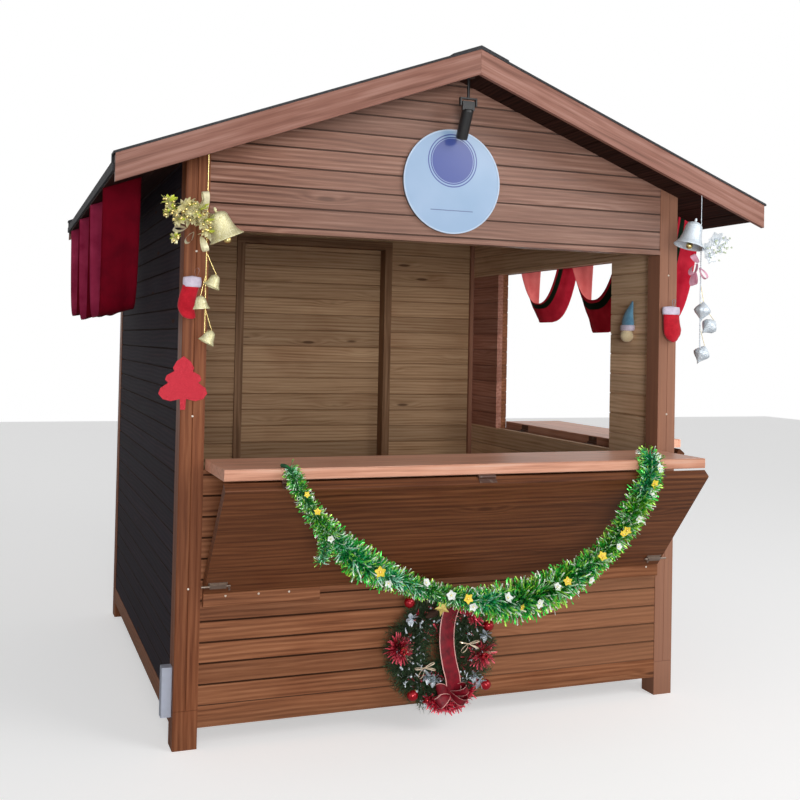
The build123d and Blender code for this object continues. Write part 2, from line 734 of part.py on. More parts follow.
for hand, side in slopes:
    x_a = mid + side * (mid + swag_in)
    x_b = mid + side * (mid + swag_out)
    slant = swag_lean[hand]
    centres = [swag_first[hand] + loop_half + k * swag_period for k in range(3)]
    for place, hung in (("front", centres[:2]), ("rear", centres[2:])):
        with BuildPart() as swag:
            plane = Plane(origin=(x_a - x_mid, -y_mid, 0), x_dir=(0, 1, 0), z_dir=(1, 0, 0))
            for c in hung:
                extrude(outline_on(plane, loop_outline(c, swag_low[hand])),
                        amount=(swag_out - swag_in) * math.hypot(1, slant),
                        dir=(side, 0, -slant))
            along_y([(x_a, soffit(x_a) - seat), (x_b, soffit(x_b) - seat), (x_b, soffit_top + 50),
                     (x_a, soffit_top + 50)], 0, hut_d + 50, Mode.SUBTRACT)
        keep(swag, f"swag_{hand}_{place}")


def lofted(sections, sides, mode=Mode.ADD):
    # sections are pairs of height and radius of a regular outline, from the top down
    sketches = []
    for z, r in sections:
        with BuildSketch(Plane(origin=(0, 0, z))) as ring:
            RegularPolygon(r, sides)
        sketches.append(ring.sketch)
    loft(sections=sketches, ruled=True, mode=mode)


# wreath as a plain ring with sloped edges, its axis square to the wall
with BuildPart() as ring_form:
    fat = wreath_small
    slim = wreath_small / 2
    lofted([(fat, wreath_big + slim), (slim, wreath_big + fat), (-slim, wreath_big + fat),
            (-fat, wreath_big + slim)], wreath_sides)
    lofted([(fat, wreath_big - slim), (slim, wreath_big - fat), (-slim, wreath_big - fat),
            (-fat, wreath_big - slim)], wreath_sides, Mode.SUBTRACT)
with BuildPart() as wreath:
    at_wall = Plane(origin=(wreath_x - x_mid, rail_set - seat - wreath_small - y_mid, wreath_z),
                    x_dir=(1, 0, 0), z_dir=(0, -1, 0))
    add(ring_form.part.moved(Location(at_wall)))
keep(wreath, "wreath")

# bells drawn as lofts between ten-sided sections, hung from strings under the bargeboards
with BuildPart() as bell_form:
    lofted([(4, 6), (0, 9), (-bell_h * 0.24, bell_r * 0.5), (-bell_h * 0.72, bell_r * 0.66),
            (-bell_h, bell_r)], bell_sides)
    lofted([(-bell_h * 0.24 - bell_t, bell_r * 0.5 - bell_t),
            (-bell_h * 0.72, bell_r * 0.66 - bell_t), (-bell_h - 0.1, bell_r - bell_t)],
           bell_sides, Mode.SUBTRACT)

with BuildPart() as jingle_form:
    lofted([(8, 4), (0, 5), (-jingle_r * 0.4, jingle_r * 0.6), (-jingle_r * 1.1, jingle_r),
            (-jingle_r * 1.8, jingle_r * 0.6), (-jingle_r * 2.5, 1.5)], bell_sides)

string_y = -front_over + barge_t / 2
hang_sets = {
    # hand: side, height of the spray, bell tilt, heights and sides of the small bells
    "left": (-1, 1985.0, 24.0, ((1745.0, 1), (1665.0, -1), (1545.0, 0))),
    "right": (1, 2065.0, 16.0, ((1725.0, -1), (1640.0, 1), (1525.0, 0))),
}
for hand, (side, spray_z, tilt, jingles) in hang_sets.items():
    sx = string_in if side < 0 else hut_w - string_in
    string_top = min(barge(sx - string_d), barge(sx + string_d)) - barge_h - seat
    with BuildPart() as string:
        rod_z(sx, string_y, string_d / 2, jingles[-1][0] + 8 + seat, string_top)
    keep(string, f"bell_string_{hand}")

with BuildPart() as bells:
    for side, spray_z, tilt, jingles in hang_sets.values():
        sx = string_in if side < 0 else hut_w - string_in
        crown_x = sx - side * bell_off
        add(bell_form.part.moved(Location((crown_x - x_mid, string_y - y_mid, spray_z),
                                          (0, side * tilt, 0))))
        arm_x0, arm_x1 = sorted((sx - side * (string_d / 2 + seat), crown_x))
        block(arm_x0, arm_x1, string_y - 1.5, string_y + 1.5, spray_z + 4.5, spray_z + 7.5)
        for jz, way in jingles:
            jx = sx + way * (jingle_r + string_d / 2 + seat)
            add(jingle_form.part.moved(Location((jx - x_mid, string_y - y_mid, jz))))
            if way:
                arm_x0, arm_x1 = sorted((sx + way * (string_d / 2 + seat), jx))
                block(arm_x0, arm_x1, string_y - 1.5, string_y + 1.5, jz + 2.5, jz + 5.5)
keep(bells, "bells")

# flat leaves fanned out beside each bell, each between two arcs
with BuildPart() as sprays:
    for side, spray_z, tilt, jingles in hang_sets.values():
        sx = string_in if side < 0 else hut_w - string_in
        fan = Plane(origin=(sx - x_mid, string_y + string_d / 2 + seat - y_mid, spray_z),
                    x_dir=(1, 0, 0), z_dir=(0, -1, 0))
        with BuildSketch(fan) as leaves:
            for turn in (100, 140, 180, 215, 250):
                angle = turn if side < 0 else 180 - turn
                with BuildSketch(mode=Mode.PRIVATE) as one_leaf:
                    with BuildLine():
                        upper = ThreePointArc((-6, 0), (leaf_len / 2, leaf_w / 2), (leaf_len, 0))
                        mirror(upper, about=Plane.XZ)
                    make_face()
                add(one_leaf.sketch.rotate(Axis.Z, angle))
            Circle(12)
        extrude(leaves.sketch, amount=-spray_t)
keep(sprays, "sprays")

# garland core, six-sided: hangs between its two ends on the counter's front edge
garland_y = -shelf_reach - garland_off
on_top = shelf_top + garland_d / 2 + seat
garland_route = [
    (312, -shelf_reach + 34, on_top), (322, -shelf_reach - 4, on_top + 4),
    (338, garland_y + 4, 1058), (372, garland_y, 986), (425, garland_y - 3, 908),
    (500, garland_y + 2, 824), (600, garland_y + 5, 734), (722, garland_y + 1, 656),
    (866, garland_y - 4, 597), (1026, garland_y - 2, 563), (1190, garland_y + 3, 561),
    (1345, garland_y + 5, 590), (1484, garland_y + 1, 648), (1600, garland_y - 4, 731),
    (1692, garland_y - 2, 826), (1758, garland_y + 3, 922), (1802, garland_y + 4, 1010),
    (1822, -shelf_reach - 30, 1062), (1832, -shelf_reach - 4, on_top + 3),
    (1838, -shelf_reach + 34, on_top)]


def corner_radii(route):
    # each arc is as large as its two runs allow
    radii = []
    for a, b, c in zip(route, route[1:], route[2:]):
        first, second = Vector(*b) - Vector(*a), Vector(*c) - Vector(*b)
        turn = math.radians(first.get_angle(second))
        shorter = min(first.length, second.length)
        radii.append(0.45 * shorter / math.tan(turn / 2))
    return radii


radii = corner_radii(garland_route)
print("garland radii", [round(r) for r in radii])
with BuildPart() as garland:
    with BuildLine() as path:
        FilletPolyline(*[(x - x_mid, y - y_mid, z) for x, y, z in garland_route],
                       radius=radii)
    core = path.wires()[0]
    with BuildSketch(Plane(origin=core @ 0, z_dir=core % 0)) as section:
        RegularPolygon(garland_d / 2, 6)
    sweep(section.sketch, path=core)
print("garland length", round(core.length), "volume",
      round(garland.part.volume / (section.sketch.area * core.length), 4))
keep(garland, "garland")

# tree-shaped plaque on the front post, half an outline mirrored
tree_half = [(0, 1.0), (0.28, 0.9), (0.42, 0.78), (0.36, 0.72), (0.66, 0.64), (0.72, 0.56),
             (0.6, 0.5), (0.9, 0.4), (0.97, 0.3), (0.8, 0.2), (0.5, 0.16), (0.12, 0.2), (0.1, 0),
             (0, 0)]
with BuildPart() as tree_plaque:
    front = Plane(origin=(plaque_x - x_mid, -seat - y_mid, plaque_z), x_dir=(1, 0, 0),
                  z_dir=(0, -1, 0))
    with BuildSketch(front) as tree:
        with BuildLine():
            Polyline(*[(u * plaque_w / 2, v * plaque_h) for u, v in tree_half], close=True)
        make_face()
        mirror(about=Plane.YZ)
    extrude(tree.sketch, amount=plaque_t)
keep(tree_plaque, "tree_plaque")

with BuildPart() as post_box:
    block(-box_w - seat, -seat, 26, 26 + box_d, box_z, box_z + box_h)
    fillet(post_box.edges().filter_by(Axis.Z), 5)
keep(post_box, "post_box")

print(len(pieces), "pieces")
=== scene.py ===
import math
import random
import bmesh
import bpy
from mathutils import Matrix, Vector


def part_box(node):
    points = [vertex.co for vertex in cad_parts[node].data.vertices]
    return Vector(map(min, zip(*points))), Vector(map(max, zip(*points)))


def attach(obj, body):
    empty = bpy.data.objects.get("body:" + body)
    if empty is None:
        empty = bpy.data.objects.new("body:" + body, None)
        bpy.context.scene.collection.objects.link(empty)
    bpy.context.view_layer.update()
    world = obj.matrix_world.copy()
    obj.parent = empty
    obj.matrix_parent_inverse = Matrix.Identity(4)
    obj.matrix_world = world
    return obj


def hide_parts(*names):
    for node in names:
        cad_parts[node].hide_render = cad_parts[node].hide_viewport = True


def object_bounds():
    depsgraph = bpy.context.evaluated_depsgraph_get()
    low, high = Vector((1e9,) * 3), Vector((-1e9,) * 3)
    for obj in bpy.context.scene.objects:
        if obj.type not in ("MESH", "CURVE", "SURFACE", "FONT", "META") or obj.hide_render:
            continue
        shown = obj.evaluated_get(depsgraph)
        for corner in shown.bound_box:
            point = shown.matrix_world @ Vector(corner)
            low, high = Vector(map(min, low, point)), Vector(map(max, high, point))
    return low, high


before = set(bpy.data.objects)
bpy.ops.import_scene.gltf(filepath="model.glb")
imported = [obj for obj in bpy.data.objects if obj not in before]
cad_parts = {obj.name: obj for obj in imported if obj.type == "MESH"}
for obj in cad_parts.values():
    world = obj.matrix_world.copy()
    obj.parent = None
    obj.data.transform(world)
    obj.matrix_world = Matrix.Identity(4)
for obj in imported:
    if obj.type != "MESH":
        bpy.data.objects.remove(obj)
cadLow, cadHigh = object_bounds()
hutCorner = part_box("post_front_left")[0]
# hut millimetres: the ridge line, the roof's fall for each one across, its underside at the ridge
ridgeX = 1100
roofSlope = 0.3796
soffitTop = 2628
evenTurn = 2.4  # about the golden angle, spreads things evenly round a middle


def hut(x, y, z):
    # millimetres from the front left ground corner of the hut
    return hutCorner + Vector((x, y, z)) / 1000


# camera, as the photograph was taken: turned, tipped and rolled a little
view = {"place": (-1.79555, -4.89995, 1.534), "yaw": 21.07, "pitch": 1.243, "roll": 1.173,
        "lens": 47.52, "shiftX": -0.0027, "shiftY": -0.1}


def setCamera():
    yaw, pitch, roll = (math.radians(view[k]) for k in ("yaw", "pitch", "roll"))
    ahead = Vector((math.sin(yaw) * math.cos(pitch), math.cos(yaw) * math.cos(pitch), math.sin(pitch)))
    level = Vector((math.cos(yaw), -math.sin(yaw), 0))
    up = level.cross(ahead)
    across = level * math.cos(roll) + up * math.sin(roll)
    upward = -level * math.sin(roll) + up * math.cos(roll)
    lensData = bpy.data.cameras.new("viewCamera")
    lensData.sensor_width = 36
    lensData.lens = view["lens"]
    lensData.shift_x, lensData.shift_y = view["shiftX"], view["shiftY"]
    lensData.clip_end = 200
    camera = bpy.data.objects.new("viewCamera", lensData)
    turn = Matrix((across, upward, -ahead)).transposed().to_4x4()
    camera.matrix_world = Matrix.Translation(view["place"]) @ turn
    bpy.context.scene.collection.objects.link(camera)
    bpy.context.scene.camera = camera


setCamera()
print("camera set")

# cords: control points in metres from the hut corner, the same as in the part's source
garlandLine = {"points": [
    (0.312, -0.316, 1.0893), (0.322, -0.354, 1.0933), (0.338, -0.388, 1.058), (0.372, -0.392, 0.986),
    (0.425, -0.395, 0.908), (0.5, -0.39, 0.824), (0.6, -0.387, 0.734), (0.722, -0.391, 0.656),
    (0.866, -0.396, 0.597), (1.026, -0.394, 0.563), (1.19, -0.389, 0.561), (1.345, -0.387, 0.59),
    (1.484, -0.391, 0.648), (1.6, -0.396, 0.731), (1.692, -0.394, 0.826), (1.758, -0.389, 0.922),
    (1.802, -0.388, 1.01), (1.822, -0.38, 1.062), (1.832, -0.354, 1.0923), (1.838, -0.316, 1.0893)],
    "across": 0.014, "length": 2.06}
bellLines = {
    "left": {"points": [(0.042, -0.226, 2.1919), (0.042, -0.226, 1.87), (0.042, -0.226, 1.5533)],
             "across": 0.003, "length": 0.6386},
    "right": {"points": [(2.158, -0.226, 2.1919), (2.158, -0.226, 1.86), (2.158, -0.226, 1.5333)],
              "across": 0.003, "length": 0.6586}}


def splineCurve(name, places, resolution):
    line = bpy.data.curves.new(name, "CURVE")
    line.dimensions = "3D"
    spline = line.splines.new("NURBS")
    spline.points.add(len(places) - 1)
    for knot, place in zip(spline.points, places):
        knot.co = (*place, 1)
    spline.order_u = 3
    spline.use_endpoint_u = True
    spline.resolution_u = resolution
    piece = bpy.data.objects.new(name, line)
    bpy.context.scene.collection.objects.link(piece)
    return piece


def cordCurve(name, look, node):
    piece = splineCurve(name, [hutCorner + Vector(place) for place in look["points"]], 12)
    for knot in piece.data.splines[0].points:
        knot.radius = look["across"] / 2
    piece.data.bevel_depth = 1
    piece.data.bevel_resolution = 3
    piece.data.use_fill_caps = True
    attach(piece, "hut")
    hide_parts(node)
    return piece


def cordTrack(piece):
    # the points that the cord's spline passes through, from a copy with no thickness
    bare = piece.data.copy()
    bare.bevel_depth = 0
    holder = bpy.data.objects.new("bareLine", bare)
    bpy.context.scene.collection.objects.link(holder)
    bpy.context.view_layer.update()
    flat = bpy.data.meshes.new_from_object(holder.evaluated_get(bpy.context.evaluated_depsgraph_get()))
    track = [v.co.copy() for v in flat.vertices]
    bpy.data.objects.remove(holder)
    bpy.data.meshes.remove(flat)
    return track


def smoothLine(places):
    # a smooth run through control places, as a list of points
    holder = splineCurve("smoothLine", places, 5)
    line = holder.data
    track = cordTrack(holder)
    bpy.data.objects.remove(holder)
    bpy.data.curves.remove(line)
    return track


def trackLength(track):
    return sum((b - a).length for a, b in zip(track, track[1:]))


def alongTrack(track, at):
    # place and direction at a distance along a track
    for a, b in zip(track, track[1:]):
        step = (b - a).length
        if at <= step:
            return a.lerp(b, at / step), (b - a).normalized()
        at -= step
    return track[-1].copy(), (track[-1] - track[-2]).normalized()


garlandCord = cordCurve("garland_cord", garlandLine, "garland")
stringCords = {hand: cordCurve("string_" + hand, line, "bell_string_" + hand)
               for hand, line in bellLines.items()}
print("cords laid")


# materials: a field is a number or a tone all over a surface, and a sum of fields lays its own nodes
class Field:
    def __init__(self, socket):
        self.socket = socket
        self.tree = socket.id_data

    def calc(self, how, b=0.0):
        return put(self.tree, "Math", {0: self, 1: b}, {"operation": how})

    def __add__(self, b):
        return self.calc("ADD", b)

    def __sub__(self, b):
        return self.calc("SUBTRACT", b)

    def __rsub__(self, a):
        return put(self.tree, "Math", {0: a, 1: self}, {"operation": "SUBTRACT"})

    def __mul__(self, b):
        return self.calc("MULTIPLY", b)

    def __truediv__(self, b):
        return self.calc("DIVIDE", b)

    def __abs__(self):
        return self.calc("ABSOLUTE")

    def fade(self, low, high):
        # 0 at low and 1 at high, smooth between
        return put(self.tree, "MapRange", {"Value": self, "From Min": low, "From Max": high},
                   {"interpolation_type": "SMOOTHSTEP"})

    def noise(self, scale, detail=2.0, rough=0.5):
        return put(self.tree, "TexNoise", {"Vector": self, "Scale": scale, "Detail": detail,
                                           "Roughness": rough}, out="Fac")

    def parts(self, kind="XYZ"):
        return put(self.tree, "Separate" + kind, {0: self}).beside()

    def beside(self):
        # all the outputs of the node that gives this one
        return [Field(socket) for socket in self.socket.node.outputs]

    def ramp(self, places, tones):
        made = put(self.tree, "ValToRGB", {0: self})
        stops = made.socket.node.color_ramp.elements
        while len(stops) < len(places):
            stops.new(0.5)
        for stop, place, tone in zip(stops, places, tones):
            stop.position = place
            stop.color = (*tone, 1)
        return made

    def scale(self, share):
        return put(self.tree, "VectorMath", {0: self, "Scale": share}, {"operation": "SCALE"})


def feed(entry, value):
    if isinstance(value, Field):
        value.tree.links.new(value.socket, entry)
    else:
        entry.default_value = value


def put(tree, kind, feeds, settings=None, out=0):
    # a node with its settings and inputs, given as the field at one of its outputs
    made = tree.nodes.new("ShaderNode" + kind)
    for key, value in (settings or {}).items():
        setattr(made, key, value)
    for key, value in feeds.items():
        feed(made.inputs[key], value)
    return Field(made.outputs[out])


def mixTone(share, a, b, how="MIX"):
    a, b = (tone if isinstance(tone, Field) else (*tone, 1) for tone in (a, b))
    return put(share.tree, "Mix", {0: share, 6: a, 7: b}, {"data_type": "RGBA", "blend_type": how}, 2)


def grid3(x, y, z):
    return put(x.tree, "CombineXYZ", {0: x, 1: y, 2: z})


def newFinish(name):
    # a material with a plain shader, and the field of places on the object
    finish = bpy.data.materials.new(name)
    finish.use_nodes = True
    tree = finish.node_tree
    tree.nodes.clear()
    shader = tree.nodes.new("ShaderNodeBsdfPrincipled")
    out = tree.nodes.new("ShaderNodeOutputMaterial")
    tree.links.new(shader.outputs["BSDF"], out.inputs["Surface"])
    return finish, put(tree, "TexCoord", {}, out="Object")


def uvParts(finish):
    return put(finish.node_tree, "UVMap", {}, {"uv_map": "UVMap"}).parts()


def setShader(finish, feeds, bump=None):
    # feeds are fields or plain values; bump is a height, its strength and its depth in metres
    tree = finish.node_tree
    shader = next(node for node in tree.nodes if node.type == "BSDF_PRINCIPLED")
    for key, value in feeds.items():
        feed(shader.inputs[key], value)
    if bump:
        feed(shader.inputs["Normal"], put(tree, "Bump", dict(zip(("Height", "Strength", "Distance"), bump))))
    return finish


# stained boards: tones are dark, middle and pale; some sets also hold painted light or shade, as noted above
# them
stains = {
    "front": [(0.105, 0.034, 0.014), (0.245, 0.092, 0.040), (0.370, 0.160, 0.078)],
    # these tones are partly painted sheen: their pale end is the sky's reflection on the glossy gable boards
    "gable": [(0.100, 0.036, 0.022), (0.250, 0.112, 0.072), (0.450, 0.260, 0.195)],
    # these tones are painted shade: the left wall's stain darkened almost to black, as if in deep shadow
    "shade": [(0.006, 0.004, 0.007), (0.016, 0.012, 0.018), (0.040, 0.026, 0.030)],
    # these tones are partly painted shade: the leaning leaves are stained darker than the front, as under the
    # counter
    "leaf": [(0.050, 0.015, 0.006), (0.130, 0.043, 0.016), (0.215, 0.082, 0.033)],
    # these tones are partly a painted reflection: the counter tops are painted pale, as if mirroring the sky
    "counter": [(0.520, 0.215, 0.125), (0.920, 0.470, 0.320), (0.980, 0.640, 0.490)],
    "post": [(0.095, 0.025, 0.009), (0.205, 0.066, 0.026), (0.320, 0.125, 0.056)],
    "barge": [(0.140, 0.056, 0.037), (0.265, 0.120, 0.088), (0.390, 0.215, 0.172)],
    "reveal": [(0.220, 0.088, 0.058), (0.400, 0.180, 0.128), (0.540, 0.300, 0.235)],
    "pine": [(0.260, 0.145, 0.068), (0.440, 0.270, 0.150), (0.560, 0.380, 0.230)],
    # these tones are painted light: pine lining painted paler, as where light comes in through the side
    # opening
    "pinePaintedLight": [(0.440, 0.265, 0.145), (0.720, 0.490, 0.310), (0.840, 0.620, 0.430)],
    "casing": [(0.110, 0.052, 0.024), (0.250, 0.132, 0.068), (0.380, 0.230, 0.130)],
    # these tones are painted shade: the roof deck darkened almost to black, as in the shade under the eaves
    "soffit": [(0.010, 0.004, 0.003), (0.030, 0.011, 0.008), (0.065, 0.026, 0.018)]}
# ways are along the grain, across the boards and into them; boards and lining give the first joint
# and the pitch in mm; joint is how far the full dark of a joint reaches and where it ends, in metres
plainTimber = {"stain": "front", "boards": None, "lining": (180, 94.5), "seed": 0, "knots": 0.22,
               "rings": 330.0, "spread": 0.3, "jointDark": 0.8, "joint": (0.0022, 0.0052), "darkerLow": 0.35,
               "rough": 0.52, "coat": 0.03, "shine": 0.14, "bump": 0.35}
# how fine each pattern is along the grain, across it and into the board, per metre
grain = {"knots": (2.6, 12.0, 3.0), "wander": (1.6, 9.0, 9.0), "streaks": (1.9, 75.0, 75.0),
         "fibres": (9.0, 520.0, 520.0)}


def timber(name, own):
    look = {**plainTimber, **own}
    finish, here = newFinish(name)
    tree = finish.node_tree
    x, y, z = here.parts()
    fromRidge = x - hut(ridgeX, 0, 0).x
    reach, lean = abs(fromRidge), math.atan(roofSlope)
    ways = {"x": x, "y": y, "z": z, "down": reach * math.cos(lean) - z * math.sin(lean),
            "rise": reach * math.sin(lean) + z * math.cos(lean)}
    along, across, deep = (ways[k] for k in look["ways"])
    if "turnAbove" in look:
        # the head of a frame has its grain along x
        over = z.calc("GREATER_THAN", hut(0, 0, look["turnAbove"]).z)
        along, across = (x - along) * over + along, (z - across) * over + across
    # which board, and how far the point is from its joints
    corner = {"x": hutCorner.x, "y": hutCorner.y, "z": hutCorner.z, "down": 0, "rise": 0}

    def stepOf(start, pitch):
        return (across - (corner[look["ways"][1]] + start / 1000)) / (pitch / 1000)

    start, pitch = look["boards"] or (0, 4000)
    step, inner = stepOf(start, pitch), None
    if "inside" in look:
        axis, at, sign, innerStain = look["inside"]
        inner = ((ways[axis] - (corner[axis] + at / 1000)) * sign).calc("GREATER_THAN")
        step = step * (1.0 - inner) + stepOf(*look["lining"]) * inner
    number = step.calc("FLOOR") + look["seed"] * 7.31
    if "down" in look["ways"]:
        number = number + fromRidge.calc("SIGN") * 31.7
    part = step.calc("FRACT")
    chance = put(tree, "TexWhiteNoise", {"W": number}, {"noise_dimensions": "1D"}, "Value")
    slide = chance * 9.0

    def stretched(name):
        return (way * fine for way, fine in zip((along, across, deep), grain[name]))

    # knots, long ovals in a few places of each board
    u, v, w = stretched("knots")
    spot, spotTone = put(tree, "TexVoronoi", {"Vector": grid3(u + slide, v + slide, w), "Scale": 1.0,
                                              "Randomness": 0.9}, {"feature": "F1"}).beside()[:2]
    picked = spotTone.parts("Color")[0].calc("GREATER_THAN", 1 - look["knots"])
    nearKnot, knot = picked * spot.fade(0.42, 0.02), picked * spot.fade(0.13, 0.06)
    # growth rings that wander and part round the knots
    u, v, w = stretched("wander")
    wander = grid3(u + slide, v, w).noise(1.0)
    rings = (across * look["rings"] + (wander * 17.0 + nearKnot * 9.0)).calc("SINE") * 0.5 + 0.5
    u, v, w = stretched("streaks")
    streaks = grid3(u + slide, v, w).noise(1.0, 4.0, 0.6)
    fibres = grid3(*stretched("fibres")).noise(1.0)
    tone = (rings - 0.5) * 0.22 + ((streaks - 0.5) * 1.25 + ((fibres - 0.5) * 0.4 + 0.5))
    tonePlaces = (0.1, 0.5, 0.92)
    shades = tone.ramp(tonePlaces, stains[look["stain"]])
    if inner:
        shades = mixTone(inner, shades, tone.ramp(tonePlaces, stains[innerStain]))
    shades = shades.scale(chance * look["spread"] + (1 - look["spread"] / 2))
    # cloudy stain, darker and redder in places
    cloud = grid3(x + slide, y, z).noise(3.1, 3.0)
    shades = mixTone(cloud.fade(0.45, 0.75) * 0.4, shades, (0.72, 0.58, 0.5), "MULTIPLY")
    shades = mixTone(knot * 0.75, shades, (0.055, 0.018, 0.008))
    if look["boards"]:
        # dark lines in the board joints, fainter in the lining
        full, none = look["joint"]
        edge = part.calc("MINIMUM", 1.0 - part) * (pitch / 1000)
        dark = look["jointDark"]
        if inner:
            dark = inner * (0.12 - dark) + dark
        shades = mixTone(edge.fade(none, full) * dark, shades, (0.018, 0.007, 0.004))
    if "paintedLightX" in look:
        # painted light: the boards are painted paler towards one end along x, where more light falls on them
        low, high, most, litTone = look["paintedLightX"]
        shades = mixTone(x.fade(hut(low, 0, 0).x, hut(high, 0, 0).x) * most, shades, litTone)
    # darker towards the bottom, below 0.16 m
    shades = mixTone(z.fade(0.16, 0.02) * look["darkerLow"], shades, (0.10, 0.045, 0.022))
    rough = ((streaks - 0.5) * 0.3 + look["rough"]) + knot * 0.15
    height = fibres * 0.35 + (streaks * 0.8 + cloud * 1.4)
    return setShader(finish, {
        "Base Color": shades, "Roughness": rough, "Coat Weight": look["coat"], "Coat Roughness": 0.3,
        "Specular IOR Level": look["shine"]}, (height, look["bump"], 0.0016))


def finishOf(nodes, finish):
    # a CAD node keeps its mesh and takes the finish in every slot
    for name in nodes:
        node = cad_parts[name]
        if not node.material_slots:
            node.data.materials.append(finish)
        for place in node.material_slots:
            place.material = finish


# looks shared by pieces of one kind; inside is where the pale lining starts: axis, mm, side and stain
frontWall = {"ways": "xzy", "boards": (158, 78.5), "inside": ("y", 36, 1, "pine")}
backWall = {**frontWall, "inside": ("y", 2064, -1, "pine"), "jointDark": 0.4}
# painted light: the right wall's lining takes the paler pine tones
rightWall = {**frontWall, "ways": "yzx", "inside": ("x", 2164, -1, "pinePaintedLight")}
post = {"ways": "zxy", "stain": "post", "jointDark": 0.0, "spread": 0.14, "darkerLow": 0.15}
# the roof look's stain is the near-black painted shade; the bargeboards take their own stain
roof = {"ways": ("down", "rise", "y"), "stain": "soffit"}
counter = {"stain": "counter", "jointDark": 0.35, "joint": (0.0006, 0.0016), "rough": 0.42, "coat": 0.08}
leaf = {"stain": "leaf", "boards": (586, 109), "jointDark": 0.35, "joint": (0.0006, 0.0018), "rough": 0.46,
        "coat": 0.1}
timbers = {
    # painted light: the front wall is painted paler towards the right
    "frontBoardStainPaintedLight": (["front_lower_wall"], {
        **frontWall, "paintedLightX": (500, 2100, 0.5, (0.285, 0.135, 0.073))}),
    # painted sheen in the gable tones, and painted light towards the right from the x fade
    "gableBoardStainPaintedSheen": (["front_gable_wall"], {
        **frontWall, "stain": "gable", "boards": (1973.5, 78.5), "seed": 3, "rough": 0.36, "coat": 0.12,
        "bump": 0.7, "knots": 0.34, "paintedLightX": (60, 700, 0.35, (0.30, 0.20, 0.165))}),
    # painted shade: the left wall takes the near-black tones in place of its real stain
    "leftBoardPaintedShade": (["left_wall"], {
        **rightWall, "stain": "shade", "seed": 5, "inside": ("x", 36, 1, "pine"), "rough": 0.8, "coat": 0.0,
        "shine": 0.1}),
    "rightBoardStainLitLining": (["right_wall_front", "right_wall_lower", "right_wall_over"], {
        **rightWall, "seed": 8}),
    "rearStripStain": (["right_wall_rear"], {
        **rightWall, "seed": 9, "inside": ("x", 2164, -1, "reveal"), "jointDark": 0.25}),
    "backBoardStain": (["back_wall_left", "back_wall_over", "back_wall_right"], {**backWall, "seed": 12}),
    "doorBoardStain": (["door_leaf"], {
        **backWall, "seed": 14, "inside": ("y", 2120, -1, "pine"), "knots": 0.45}),
    "doorFrameStain": (["door_frame"], {
        "ways": "zxy", "stain": "casing", "seed": 15, "rings": 200.0, "turnAbove": 2094}),
    "leftPostStain": (["post_front_left", "post_rear_left"], {**post, "boards": (0, 46), "seed": 20}),
    # painted light: the right posts are painted paler towards their outer side
    "rightPostStainPaintedLight": (["post_front_right", "post_rear_right"], {
        **post, "boards": (2154, 46), "seed": 22, "paintedLightX": (1900, 2180, 0.7, (0.375, 0.195, 0.132))}),
    "baseRailStain": (["base_frame"], {"ways": "xzy", "seed": 24, "darkerLow": 0.5}),
    "floorBoardWood": (["floor"], {
        "ways": "xyz", "stain": "pine", "boards": (0, 90), "seed": 26, "rough": 0.6, "coat": 0.0, "darkerLow": 0.0,
        "jointDark": 0.5}),
    "bargeboardStain": (["bargeboards_front", "bargeboards_rear"], {
        **roof, "stain": "barge", "seed": 28, "rings": 180.0, "knots": 0.3, "rough": 0.46, "coat": 0.1}),
    # painted shade: the roof deck and the verge battens take the near-black tones
    "roofDeckPaintedShade": (["roof_deck_left", "roof_deck_right"], {
        **roof, "ways": ("y", "down", "rise"), "boards": (0, 100), "seed": 30, "jointDark": 0.0, "coat": 0.0,
        "rough": 0.8, "shine": 0.1}),
    "vergeBattenPaintedShade": (["verge_battens"], {**roof, "seed": 31}),
    # painted reflection: both counter tops take the pale counter tones
    "frontCounterStainAndGlare": (["counter_front"], {**counter, "ways": "xyz", "boards": (-350, 119), "seed": 33}),
    "sideCounterStainAndGlare": (["counter_right"], {**counter, "ways": "yxz", "boards": (2195, 119), "seed": 35}),
    # painted shade: both leaves take the darkened leaf tones
    "frontLeafStainInShade": (["drop_leaf_front"], {**leaf, "ways": "xzy", "seed": 37}),
    "sideLeafStainInShade": (["drop_leaf_right"], {**leaf, "ways": "yzx", "seed": 39}),
    "ledgerStain": (["ledgers"], {"ways": "xzy", "seed": 41, "spread": 0.1})}
for finishName, (nodes, look) in timbers.items():
    finishOf(nodes, timber(finishName, look))
print("timber stained")


def feltFinish():
    # bitumen felt with mineral chips, laps every 0.88 m
    finish, here = newFinish("roofFelt")
    tree = finish.node_tree
    chip = put(tree, "TexVoronoi", {"Vector": here, "Scale": 420.0}, out="Color").parts("Color")[0]
    tone = (here.noise(4.0, 4.0, 0.6) * 0.5 + chip * 0.5).ramp((0.15, 0.55, 0.95), (
        (0.010, 0.010, 0.012), (0.026, 0.027, 0.030), (0.085, 0.088, 0.095)))
    lap = ((here.parts()[1] - cadLow.y) / 0.88).calc("FRACT")
    seam = abs(lap - 0.5).fade(0.006, 0.0)
    return setShader(finish, {"Base Color": mixTone(seam, tone, (0.006, 0.006, 0.007)), "Roughness": 0.85},
                     (chip - seam * 2.0, 0.6, 0.0012))


def metalFinish(name, tone, rough, metal=1.0, spot=(0.3, 0.22, 0.15), stain=0.15, scale=35.0):
    finish, here = newFinish(name)
    patch, grain = here.noise(scale, 4.0, 0.65), here.noise(scale * 14)
    return setShader(finish, {"Base Color": mixTone(patch.fade(0.52, 0.75) * stain, tone, spot),
                              "Roughness": grain * 0.2 + (rough - 0.1), "Metallic": metal},
                     (grain, 0.12, 0.0004))


